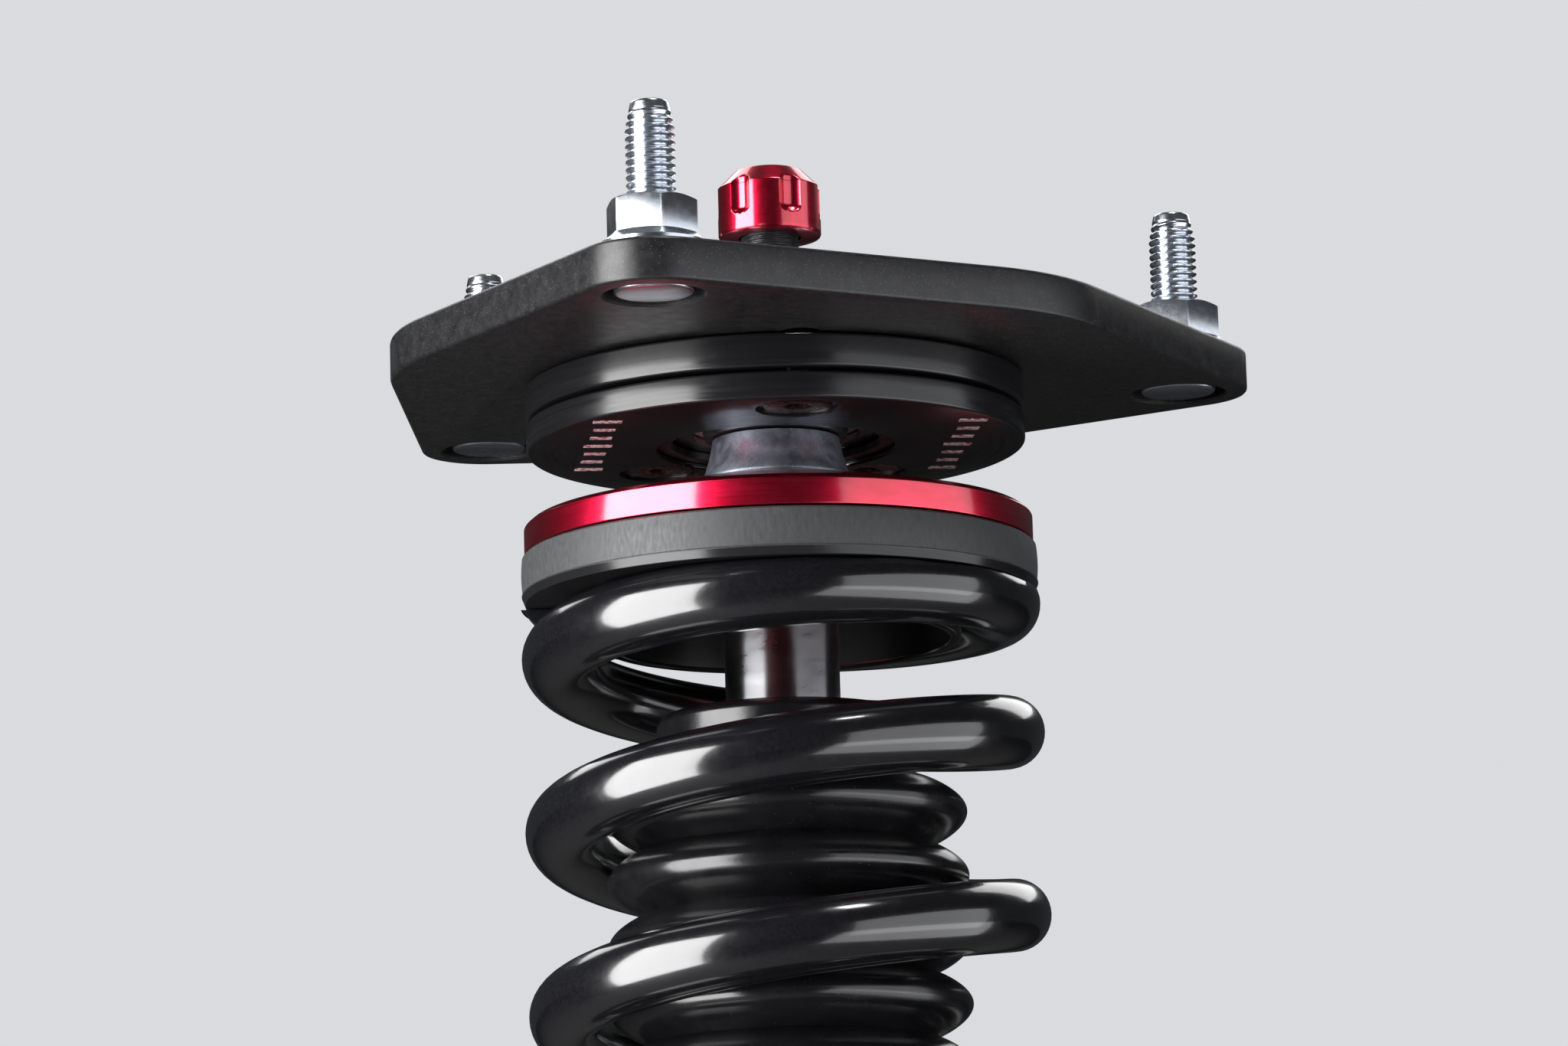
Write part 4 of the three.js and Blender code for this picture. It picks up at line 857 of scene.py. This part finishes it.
def make_circlip(low, high, outer):
    """A spring ring with a gap and two eyes for its pliers."""
    inner = outer - 5
    gap = radians(20)
    steps = 96
    angles = np.linspace(gap / 2, TURN - gap / 2, steps) + radians(90)
    section = rounded([(0, low, 0.1), (1, low, 0.1), (1, high, 0.1), (0, high, 0.1)], 2)
    points = np.empty((steps, len(section), 3))
    for i, a in enumerate(angles):
        near_end = min(i, steps - 1 - i) / 6
        width = (outer - inner) * (0.62 + 0.38 * (1 - min(near_end, 1)))
        for j, (across, z) in enumerate(section):
            r = outer - width + across * width
            points[i, j] = (r * cos(a), r * sin(a), z)
    bm = grid_bmesh(points, around=False)
    bm.verts.ensure_lookup_table()
    columns = len(section)
    for i in (0, steps - 1):
        bm.faces.new([bm.verts[i * columns + j] for j in range(columns)])
    piece = finish_mesh("bearing_circlip_ring", bm)
    stands_for(piece, "camber_carriage", "dark_steel", PHOSPHATE, "bearing_circlip")


def box_verts(bm, centre, size):
    made = bmesh.ops.create_cube(bm, size=1.0)
    bmesh.ops.scale(bm, vec=Vector(size) * MM, verts=made["verts"])
    bmesh.ops.translate(bm, vec=Vector(centre) * MM, verts=made["verts"])
    return made["verts"]


def make_ticks(level):
    """Two rows of engraved setting ticks on the retainer's underside, one beside each edge of the slot."""
    bm = bmesh.new()
    for side in (-1, 1):
        for k in range(7):
            length = 4.7 if k % 3 == 0 else 3.6
            box_verts(bm, (side * 30, -23 + 6.5 * k, level - 0.02), (length, 1.9, 0.08))
    bmesh.ops.bevel(bm, geom=bm.edges, offset=0.00002, segments=1, affect="EDGES")
    piece = finish_mesh("setting_ticks", bm)
    # The ticks' colour is painted reflection and painted highlight.
    stands_for(piece, "camber_carriage", "aluminium", TICK_PAINTED_REFLECTION)


def make_clamp_screw(letter, place):
    node = "clamp_screw_" + letter
    bottom, top = span(node)
    socket = 2.0
    floor = bottom + 2.2
    cone = bottom + 2.3
    rows = thread_rows(bottom + 8, top - 0.4, 1.0, 10)

    def outline(angle):
        inner = hex_radius(angle, 2 * socket, 0)
        head = [(0, floor + 0.5), (inner * 0.5, floor + 0.25), (inner, floor), (inner, bottom + 0.25),
                (inner + 0.25, bottom + 0.02), (SCREW_HEAD - 0.5, bottom), (SCREW_HEAD - 0.05, bottom + 0.15),
                (SCREW_HEAD, bottom + 0.4), (3.05, cone + 0.3), (2.9, cone + 1)]
        phase = rows - angle / TURN
        body = list(zip(3.0 - 0.5 * thread_depth(phase), rows))
        return head + body + [(2.5, top), (0, top)]

    piece = shaped("clamp_screw_socket_" + letter, outline, even_angles(72), place)
    stands_for(piece, "camber_carriage", "black_oxide", OXIDE, node)


# ---------------------------------------------------------------- pillow ball, neck, rod and its nut


def make_ball_and_liner():
    low, high = span("pillow_ball")
    centre = (low + high) / 2
    ball = radius_of("pillow_ball")
    half = asin((high - low) / 2 / ball)
    sphere = [(ball * cos(a), centre + ball * sin(a)) for a in np.linspace(-half, half, 33)]
    piece = lathe("pillow_ball_turned", [(6.3, low)] + sphere + [(6.3, high)], 128)
    stands_for(piece, "damper_rod", "dark_steel", PHOSPHATE, "pillow_ball")
    low, high = span("bearing_liner")
    inner, outer = ball + 0.25, radius_of("bearing_liner")
    half = asin((high - low) / 2 / outer)
    angles = np.linspace(-half, half, 13)
    outside = [(outer * cos(a), centre + outer * sin(a)) for a in angles]
    inside = [(inner * cos(a), centre + inner * sin(a)) for a in reversed(angles)]
    piece = lathe("bearing_liner_shell", outside + inside, 128)
    stands_for(piece, "ball_liner", "ptfe", LINER, "bearing_liner")


def make_neck():
    low, high = span("neck_spacer")
    base = radius_of("neck_spacer")
    tall = high - low
    taper = 1.5
    curve = []
    for k in range(17):
        t = k / 16
        curve.append((base - taper + (taper + 0.3) * (1 - t) ** 1.4, low + 0.35 + (tall - 0.45) * t))
    outline = [(6.3, low), (base + 0.1, low), (base + 0.28, low + 0.2)] + curve + [(curve[-1][0] - 0.2, high), (6.3, high)]
    piece = lathe("neck_spacer_turned", outline, 128)
    stands_for(piece, "damper_rod", "dark_steel", NECK, "neck_spacer")
    low, high = span("top_spacer")
    outer = radius_of("top_spacer")
    piece = lathe("top_spacer_turned", rounded([(6.3, low), (outer, low, 0.4), (outer, high, 0.4), (6.3, high)]), 96)
    stands_for(piece, "damper_rod", "dark_steel", NECK, "top_spacer")


def make_rod():
    low, high = span("piston_rod")
    shoulder = span("neck_spacer")[0] - 0.3
    nut_top = span("rod_top_nut")[1]
    radius = radius_of("piston_rod")
    rows = thread_rows(nut_top - 9.5, high - 0.5, 1.25, 12)
    pocket = span("adjuster_stem")[0] - 2
    start = [(0, low), (4.6, low), (5, low + 0.4), (5, -250.5), (radius - 0.5, -250.2), (radius, -249.7)]
    neck = [(radius, shoulder - 0.8), (radius - 0.8, shoulder), (6, shoulder), (6, nut_top - 10)]

    def outline(angle):
        thread = threaded_outline(
            angle, rows, lambda z: 5.95 + 0 * z, 0.7, 1.25, lambda z: np.clip((z - rows[0]) / 0.8, 0, 1))
        return start + neck + thread + [(4.9, high), (2.9, high), (2.4, high - 0.5), (2.4, pocket), (0, pocket)]

    piece = shaped("piston_rod_chromed", outline, even_angles(128), sharp=radians(45))
    stands_for(piece, "damper_rod", "chrome", CHROME, "piston_rod")
    low, high = span("rod_top_nut")
    piece = hex_nut("rod_top_nut_hex", (0, 0), 18.0, radians(10), low, high, 6.15)
    stands_for(piece, "damper_rod", "zinc", ZINC, "rod_top_nut")


KNOB_FLUTES = 6
KNOB_TURN = radians(-70.8)
FLUTE = 2.4
FLUTE_DEPTH = 1.1


def make_adjuster():
    low, high = span("adjuster_knob")
    radius = radius_of("adjuster_knob")
    chamfer = 3.0
    flute_from = low + 2.6
    levels = np.concatenate([np.linspace(low + 0.45, flute_from, 6), np.linspace(flute_from + 0.1, high - chamfer, 30)])
    upper = rounded([(radius, high - chamfer - 1), (radius, high - chamfer, 0.45), (radius - chamfer, high, 0.5),
                     (0, high)], 5)[1:-1]
    centre = radius + FLUTE - FLUTE_DEPTH
    steps = np.linspace(0.15, 0.98, 8)

    def fluted(angle, r, z):
        around = (angle - KNOB_TURN + pi / KNOB_FLUTES) % (TURN / KNOB_FLUTES) - pi / KNOB_FLUTES
        reach = 1.6
        size = FLUTE * sqrt(max(1 - ((flute_from + reach - z) / reach) ** 2, 0)) if z < flute_from + reach else FLUTE
        across = centre * sin(around)
        if abs(across) >= size:
            return r
        return min(r, centre * cos(around) - sqrt(size ** 2 - across ** 2))

    crown = []
    for first, second in zip(upper[:-1], upper[1:]):
        crown.append(first)
    crown.append(upper[-1])
    fine = []
    for (r0, z0), (r1, z1) in zip(crown[:-1], crown[1:]):
        parts = max(int(hypot(r1 - r0, z1 - z0) / 0.35), 1)
        fine += [(r0 + (r1 - r0) * k / parts, z0 + (z1 - z0) * k / parts) for k in range(parts)]
    fine.append(crown[-1])
    bore = radius_of("adjuster_stem") + 0.3
    ceiling = (low + high) / 2 + 0.3

    def outline(angle):
        side = [(fluted(angle, radius, z), z) for z in levels]
        top = [(fluted(angle, r, z), z) for r, z in fine]
        return ([(bore, low), (radius - 0.6, low), (radius - 0.15, low + 0.15)] + side + top
                + [(0, high), (0, ceiling), (bore, ceiling)])

    piece = shaped("adjuster_knob_fluted", outline, even_angles(288, KNOB_TURN), sharp=radians(38))
    stands_for(piece, "damping_adjuster", "red_anodised", RED, "adjuster_knob")
    low, high = span("adjuster_stem")
    collar = radius_of("adjuster_stem")
    rod_top = span("piston_rod")[1]
    rows = thread_rows(rod_top + 0.4, span("adjuster_knob")[0] + 1, 0.75, 10)

    def stem(angle):
        thread = threaded_outline(angle, rows, lambda z: collar + 0 * z, 0.4, 0.75, lambda z: 1 + 0 * z)
        return ([(0, low), (1.7, low), (2, low + 0.3), (2, rod_top + 0.3), (collar - 0.3, rod_top + 0.3)] + thread
                + [(collar, rows[-1] + 0.1), (collar, high - 0.3), (collar - 0.3, high), (0, high)])

    piece = shaped("adjuster_stem_threaded", stem, even_angles(72), sharp=radians(50))
    stands_for(piece, "damping_adjuster", "dark_steel", PHOSPHATE, "adjuster_stem")


# ---------------------------------------------------------------- spring seat, isolators, spring and boot


def make_thrust_bearing():
    for node, body, slot_name, surface in (
        ("thrust_washer", "damper_rod", "bearing_steel", STEEL),
        ("needle_thrust_cage", "spring_seat", "bronze", BRONZE),
    ):
        low, high = span(node)
        piece = lathe(node + "_ring", rounded([
            (10, low, 0.2), (12, low, 0.2), (12, high, 0.2), (10, high, 0.2)]), 96)
        stands_for(piece, body, slot_name, surface, node)


def make_spring_seat():
    low, high = span("upper_spring_seat")
    radius = radius_of("upper_spring_seat")
    rim_top = low + 4.4
    cage_low = span("needle_thrust_cage")[0]
    floor = cage_low - 0.3
    isolator_low, isolator_high = span("spring_isolator")
    rim_inner = 26.8
    locator = rim_inner + 3
    piece = lathe("upper_spring_seat_turned", rounded([
        (12.3, high), (13.4, high, 0.3), (radius - 0.9, rim_top + 0.75, 0.35), (radius, rim_top, 0.35),
        (radius, low, 0.25), (rim_inner, low, 0.4), (15.4, floor - 4, 1.5), (10.1, floor - 4, 0.4), (10.1, floor),
        (12.3, floor)]), 256)
    stands_for(piece, "spring_seat", "red_anodised", RED, "upper_spring_seat")

    outer = radius_of("spring_isolator")
    bevel_top = isolator_high - 6.5
    face = isolator_high - 6.5 - 1.7 + 0.3
    belly = [(outer - 0.35, isolator_high - 0.2)]
    for k in range(9):
        t = k / 8
        belly.append((outer - 0.3 + 0.3 * sin(pi * (0.15 + 0.75 * t)), isolator_high - 0.35 - (6.5 - 0.6) * t))
    outline = [(rim_inner, isolator_high), (outer - 0.6, isolator_high)] + belly
    outline += rounded([(outer - 0.02, bevel_top + 0.1, 0), (outer - 0.1, bevel_top - 0.05, 0),
                        (outer - 0.6, face, 0.15), (locator, face, 0.5), (locator, isolator_low, 0.6),
                        (rim_inner, isolator_low, 0.8)])
    piece = lathe("spring_isolator_ring", outline, 256)
    stands_for(piece, "spring_seat", "grey_polymer", POLYMER, "spring_isolator")


SPRING_RADIUS = 37.0
WIRE = 6.0
SPRING_TURNS = 8
SPRING_TIP = 173.5
CLOSED_RATE = 8.0
OPEN_RATE = 30.3
RAMP_START = 0.35
RAMP_END = 1.45
GROUND_DEPTH = 2.5


def spring_drop(turns):
    """Height of the wire's centre below the top tip after a number of turns."""
    total = 2 * spring_end_drop(RAMP_END) + OPEN_RATE * (SPRING_TURNS - 2 * RAMP_END)
    if turns > SPRING_TURNS / 2:
        return total - spring_end_drop(SPRING_TURNS - turns)
    return spring_end_drop(turns)


def spring_end_drop(turns):
    length = RAMP_END - RAMP_START
    ramp = min(max((turns - RAMP_START) / length, 0), 1)
    eased = length * (ramp ** 3 - ramp ** 4 / 2)
    beyond = max(turns - RAMP_END, 0)
    return CLOSED_RATE * turns + (OPEN_RATE - CLOSED_RATE) * (eased + beyond)


def make_spring():
    low, high = span("coil_spring")
    sides, per_turn = 40, 112
    steps = SPRING_TURNS * per_turn
    tip_height = high + GROUND_DEPTH
    points = np.empty((steps + 1, sides, 3))
    for i in range(steps + 1):
        turns = i / per_turn
        angle = radians(SPRING_TIP) - TURN * turns
        height = tip_height - spring_drop(turns)
        ahead = spring_drop(min(turns + 0.01, SPRING_TURNS)) - spring_drop(max(turns - 0.01, 0))
        slope = ahead / 0.02 / (TURN * SPRING_RADIUS)
        outwards = np.array([cos(angle), sin(angle), 0])
        along = np.array([sin(angle), -cos(angle), -slope])
        along /= np.linalg.norm(along)
        upwards = np.cross(along, outwards)
        upwards *= np.sign(upwards[2])
        centre = outwards * SPRING_RADIUS + np.array([0, 0, height])
        for j in range(sides):
            a = TURN * j / sides
            points[i, j] = centre + WIRE * (cos(a) * outwards + sin(a) * upwards)
    points[..., 2] = np.clip(points[..., 2], low, high)
    bm = grid_bmesh(points, around=False)
    bm.verts.ensure_lookup_table()
    for i in (0, steps):
        bm.faces.new([bm.verts[i * sides + j] for j in range(sides)])
    piece = finish_mesh("coil_spring_wound", bm, radians(40))
    stands_for(piece, "spring_seat", "powder_coat", POWDER, "coil_spring")
    return piece, high


def squash_with_stroke(piece):
    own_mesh(piece)


BOOT_PITCH = 10.6
BOOT_FOLDS = 7
BOOT_COLLAR = 9.0
BOOT_CUFF = 9.0
BOOT_WALL = 1.6


def make_boot():
    low, high = span("dust_boot")
    high += 2.5
    peak = radius_of("dust_boot")
    depth = 6.6
    collar = 21.0
    cuff = radius_of("gland_nut") + 0.3 + BOOT_WALL
    outside = [(collar - 1.4, high), (collar, high - 1.1, 1.2), (collar, high - BOOT_COLLAR - 1.7, 0.6)]
    outer = rounded(outside + [(collar + 1, high - BOOT_COLLAR - 2.5, 0)], 5)
    high -= 2.5
    steps = 24
    for fold in range(BOOT_FOLDS):
        top = high - BOOT_COLLAR - fold * BOOT_PITCH
        for k in range(steps):
            t = (k + 0.25) / steps
            outer.append((peak - depth + depth * sin(pi * t) ** 0.75, top - BOOT_PITCH * t))
    cuff_top = high - BOOT_COLLAR - BOOT_FOLDS * BOOT_PITCH
    outer += rounded([
        (peak - depth, cuff_top, 0), (cuff, cuff_top - 0.8, 0.6), (cuff, low + 3.5, 0.4), (cuff + 0.7, low + 3.0, 0.3),
        (cuff + 0.7, low + 0.2, 0.5), (cuff, low, 0)], 5)
    inner = []
    for r, z in reversed(outer):
        inner.append((max(r - BOOT_WALL * 1.15, 18.3) if z > cuff_top + 0.5 else cuff - BOOT_WALL, z))
    piece = lathe("dust_boot_bellows", outer + inner, 160, sharp=radians(60))
    stands_for(piece, "spring_seat", "black_rubber", RUBBER, "dust_boot")
    squash_with_stroke(piece)


def make_bump_stop():
    low, high = span("bump_stop")
    radius, bore = radius_of("bump_stop"), 9.8
    waves = []
    folds = 3
    for k in range(49):
        t = k / 48
        bulge = 0.5 - 0.5 * cos(TURN * folds * t)
        taper = 1 - 0.16 * t
        waves.append(((radius - 3.2 + 3.1 * bulge) * taper, high - 0.6 - (high - low - 1.2) * t))
    outline = [(bore, high), (radius - 4, high)] + waves + [(radius - 6, low), (bore, low)]
    piece = lathe("bump_stop_foam", outline, 96)
    stands_for(piece, "damper_rod", "polyurethane", FOAM, "bump_stop")


# ---------------------------------------------------------------- perch and lock collars

COLLAR_SLOTS = 6
SLOT_WIDTH = 7.0
SLOT_DEPTH = 4.0
SLOT_TURN = 15.0


def slotted_angles(radius, per_gap=20, per_slot=8):
    """Angles with an edge pair at each side of each spanner slot."""
    angles = []
    half = asin(SLOT_WIDTH / 2 / radius)
    sliver = radians(0.05)
    for k in range(COLLAR_SLOTS):
        middle = radians(SLOT_TURN + 360 / COLLAR_SLOTS * k)
        angles += [middle - half - sliver] + list(np.linspace(middle - half, middle + half, per_slot))
        angles += [middle + half + sliver]
        following = middle + TURN / COLLAR_SLOTS
        angles += list(np.linspace(middle + half + sliver, following - half - sliver, per_gap + 2)[1:-1])
    return angles


def in_slot(angle, radius):
    half = asin(SLOT_WIDTH / 2 / radius) + 1e-4
    local = (angle - radians(SLOT_TURN) + pi / COLLAR_SLOTS) % (TURN / COLLAR_SLOTS) - pi / COLLAR_SLOTS
    return abs(local) <= half


def bore_thread(rows, angle, bore, pitch=2.0, depth=0.9):
    phase = rows / pitch - angle / TURN
    return list(zip(bore + depth * 0.5 - depth * 0.5 * (1 - thread_depth(phase)), rows))


def make_collar(node, body):
    low, high = span(node)
    radius = 36.0
    bore = radius_of("threaded_body") + 0.4
    chamfer = 1.1
    rows = thread_rows(high - 0.8, low + 0.8, 2.0, -8)

    def outline(angle):
        cut = SLOT_DEPTH if in_slot(angle, radius) else 0
        r = radius - cut
        ease = 0.25
        side = [
            (r - chamfer - ease, low), (r - chamfer, low + 0.08), (r - 0.1, low + chamfer - 0.1), (r, low + chamfer + ease),
            (r, high - chamfer - ease), (r - 0.1, high - chamfer + 0.1), (r - chamfer, high - 0.08),
            (r - chamfer - ease, high)]
        return [(bore + 0.9, low)] + side + [(bore + 0.9, high)] + bore_thread(rows, angle, bore)

    piece = shaped(node + "_slotted", outline, slotted_angles(radius))
    stands_for(piece, body, "red_anodised", RED, node)


def make_perch():
    low, high = span("spring_perch")
    radius = radius_of("spring_perch")
    bore = radius_of("threaded_body") + 0.4
    isolator_low, isolator_high = span("lower_spring_isolator")
    seat = isolator_low - 0.3
    flange_low = seat - 7
    sleeve = 36.0
    hub = 29.8
    rows = thread_rows(high - 0.8, low + 0.8, 2.0, -8)

    def outline(angle):
        cut = SLOT_DEPTH if in_slot(angle, sleeve) else 0
        r = sleeve - cut
        lower = [(bore + 0.9, low), (r - 1.3, low), (r - 1.1, low + 0.1), (r - 0.1, low + 1.1), (r, low + 1.4),
                 (r, flange_low - 5.2), (r + cut * 0.9, flange_low - 4.6), (sleeve, flange_low - 4.2),
                 (sleeve, flange_low - 3.2)]
        upper = rounded([
            (sleeve, flange_low - 3.1), (sleeve, flange_low - 1.8, 0.8), (radius, flange_low, 0.8), (radius, seat, 0.9),
            (hub, seat, 0.5), (hub, high, 1.0), (bore + 0.9, high)])[1:]
        return lower + upper + bore_thread(rows, angle, bore)

    piece = shaped("spring_perch_slotted", outline, slotted_angles(sleeve))
    stands_for(piece, "perch", "red_anodised", RED, "spring_perch")
    outer = radius_of("lower_spring_isolator")
    piece = lathe("lower_spring_isolator_ring", rounded([
        (hub + 0.3, isolator_low, 0.2), (outer, isolator_low, 0.6), (outer, isolator_high, 0.8),
        (hub + 0.3, isolator_high, 0.3)]), 192)
    stands_for(piece, "perch", "grey_polymer", LOWER_POLYMER, "lower_spring_isolator")


# ---------------------------------------------------------------- strut body and gland


def make_body():
    low, high = span("threaded_body")
    radius = radius_of("threaded_body")
    bore = radius - 2.6
    rows = thread_rows(low + 3, high - 1.5, 2.0, 7)

    def fade(z):
        return np.clip((z - low - 3) / 2, 0, 1) * np.clip((high - 1.5 - z) / 1.5, 0, 1)

    def outline(angle):
        thread = threaded_outline(angle, rows, lambda z: radius + 0 * z, 1.05, 2.0, fade)
        return ([(0, low), (radius - 2.2, low), (radius - 1.6, low + 0.25), (radius - 0.2, low + 1.7)] + thread
                + [(radius - 0.1, high - 0.9), (radius - 0.9, high), (bore, high), (bore, low + 6), (0, low + 6)])

    piece = shaped("threaded_body_cut", outline, even_angles(72), sharp=radians(50))
    stands_for(piece, "strut_body", "black_paint", PHOSPHATE, "threaded_body")

    low, high = span("gland_nut")
    outer = radius_of("gland_nut")
    shelf = high - 9
    inner = bore - 0.3
    gland = lathe("gland_nut_turned", rounded([
        (14.8, low), (inner, low, 0.4), (inner, shelf), (outer, shelf, 0.4), (outer, high, 0.8), (14.8, high, 0.4)]), 128)
    holes = []
    for k in range(4):
        a = radians(45 + 90 * k)
        spot = (20.5 * cos(a), 20.5 * sin(a))
        holes.append(lathe("cut", [(0, high - 4), (2, high - 4), (2, high + 1), (0, high + 1)], 32, spot))
    boolean(gland, holes)
    stands_for(gland, "strut_body", "black_anodised", TURNED, "gland_nut")

    low, high = span("rod_wiper")
    outer = radius_of("rod_wiper")
    piece = lathe("rod_wiper_lip", rounded([
        (9.8, high - 0.2, 0.15), (10.4, high - 0.2, 0.2), (12.2, low + 1.6, 0.8), (outer, high - 0.6, 0.4), (outer, low, 0.3),
        (11.5, low, 0.3)]), 128)
    stands_for(piece, "strut_body", "black_rubber", RUBBER, "rod_wiper")


# ---------------------------------------------------------------- lower bracket


def bead(name, path, radius, body, slot_name, surface):
    """A weld bead along a path, with the ripples of its puddles."""
    path = np.array(path, float)
    steps = len(path)
    sides = 12
    tangent = np.gradient(path, axis=0)
    tangent /= np.linalg.norm(tangent, axis=1)[:, None]
    travelled = np.concatenate([[0], np.cumsum(np.linalg.norm(np.diff(path, axis=0), axis=1))])
    points = np.empty((steps, sides, 3))
    for i in range(steps):
        side = np.cross(tangent[i], (0.3, 0.2, 1.0) if abs(tangent[i][2]) < 0.9 else (1.0, 0.2, 0.1))
        side /= np.linalg.norm(side)
        up = np.cross(side, tangent[i])
        ripple = 1 + 0.07 * abs(sin(travelled[i] * pi / 1.3))
        end = min(i, steps - 1 - i) / 5
        size = radius * ripple * sqrt(min(end, 1) * 0.75 + 0.25)
        for j in range(sides):
            a = TURN * j / sides
            points[i, j] = path[i] + size * (cos(a) * side + sin(a) * up)
    bm = grid_bmesh(points, around=False)
    bm.verts.ensure_lookup_table()
    for i in (0, steps - 1):
        bm.faces.new([bm.verts[i * sides + j] for j in range(sides)])
    piece = finish_mesh(name, bm, radians(60))
    return stands_for(piece, body, slot_name, surface)


def make_bracket():
    low, high = span("bracket_sleeve")
    radius = radius_of("bracket_sleeve")
    bore = radius_of("threaded_body") + 0.4
    rows = thread_rows(high - 1.2, low + 1.2, 2.0, -6)

    def outline(angle):
        r = radius
        ring = rounded([(bore + 1.2, low), (r, low, 1.6), (r, high, 1.6), (bore + 1.2, high)], 5)
        return ring + bore_thread(rows, angle, bore)

    piece = shaped("bracket_sleeve_bored", outline, even_angles(96))
    stands_for(piece, "lower_bracket", "black_paint", PAINT, "bracket_sleeve")

    middle = (low + high) / 2
    for side in ("left", "right"):
        node = "bracket_ear_" + side
        lo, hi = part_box(node)
        lo, hi = lo / MM, hi / MM
        corner = 9.0
        outline = [(hi.y, lo.z), (hi.y, hi.z)]
        outline += arc(lo.y + corner, hi.z - corner, corner, 90, 180, 16)
        outline += arc(lo.y + corner, lo.z + corner, corner, 180, 270, 16)
        ear = outline_slab(node + "_plate", outline[::-1], lo.x, hi.x, 0.7)
        holes = []
        for offset in (-27.0, 27.0):
            hole = [(0, lo.x - 1), (7.9, lo.x - 1), (7.9, lo.x), (7.25, lo.x + 0.6), (7.25, hi.x - 0.6), (7.9, hi.x),
                    (7.9, hi.x + 1), (0, hi.x + 1)]
            holes.append(lathe("cut", hole, 72, (-60.0, middle + offset)))
        boolean(ear, holes)
        upright = Matrix(((0, 0, 1, 0), (1, 0, 0, 0), (0, 1, 0, 0), (0, 0, 0, 1)))
        ear.data.transform(upright)
        stands_for(ear, "lower_bracket", "black_paint", PAINT, node)
        for face, x in (("inner", lo.x if side == "right" else hi.x), ("outer", hi.x if side == "right" else lo.x)):
            y = -sqrt(radius ** 2 - x ** 2)
            heights = np.linspace(lo.z + 3, hi.z - 3, 120)
            outward = 0.9 if (x > 0) == (face == "outer") else -0.9
            path = [(x + outward, y - 0.9, z) for z in heights]
            bead("weld_" + side + "_" + face, path, 1.9, "lower_bracket", "black_paint", PAINT)
    make_tab(radius)


def make_tab(radius):
    lo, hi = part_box("hose_tab")
    lo, hi = lo / MM, hi / MM
    half = hi.x
    eye = hi.y - half
    outline = [(half, lo.y)] + arc(0, eye, half, 0, 180, 32) + [(-half, lo.y)]
    tab = outline_slab("hose_tab_plate", outline, lo.z, hi.z, 0.5)
    hole = [(0, lo.z - 1), (5.5, lo.z - 1), (5.5, hi.z + 1), (0, hi.z + 1)]
    boolean(tab, [lathe("cut", hole, 64, (0, eye))])
    stands_for(tab, "lower_bracket", "black_paint", PAINT, "hose_tab")
    across = np.linspace(-half + 1.5, half - 1.5, 60)
    for name, z in (("upper", hi.z + 0.5), ("lower", lo.z - 0.5)):
        path = [(x, sqrt((radius + 0.6) ** 2 - x ** 2), z) for x in across]
        bead("weld_tab_" + name, path, 1.3, "lower_bracket", "black_paint", PAINT)


# ---------------------------------------------------------------- pieces inside the damper keep their CAD shape

INSIDE = {
    "rebound_spacer": ALLOY, "piston_valve": ALLOY, "rod_guide": ALLOY, "piston_band": BRONZE, "base_valve": BRONZE,
    "piston_nut": ZINC, "oil_seal": RUBBER, "inner_cylinder": STEEL,
}


def finish_inside():
    for node, surface in INSIDE.items():
        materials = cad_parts[node].data.materials
        materials.clear()
        materials.append(surface)


make_camera()
make_studio()
make_camber_plate()
for number in range(3):
    make_stud(number)
    make_nut(number)
make_carriage()
for letter, place in zip(STUD_NAMES, clamp_screw_places()):
    make_clamp_screw(letter, place)
make_ball_and_liner()
make_neck()
make_rod()
make_adjuster()
make_thrust_bearing()
make_spring_seat()
spring, spring_top = make_spring()
squash_with_stroke(spring)
make_boot()
make_bump_stop()
make_perch()
make_collar("perch_lock_collar", "perch_lock")
make_collar("bracket_lock_collar", "bracket_lock")
make_body()
make_bracket()
finish_inside()
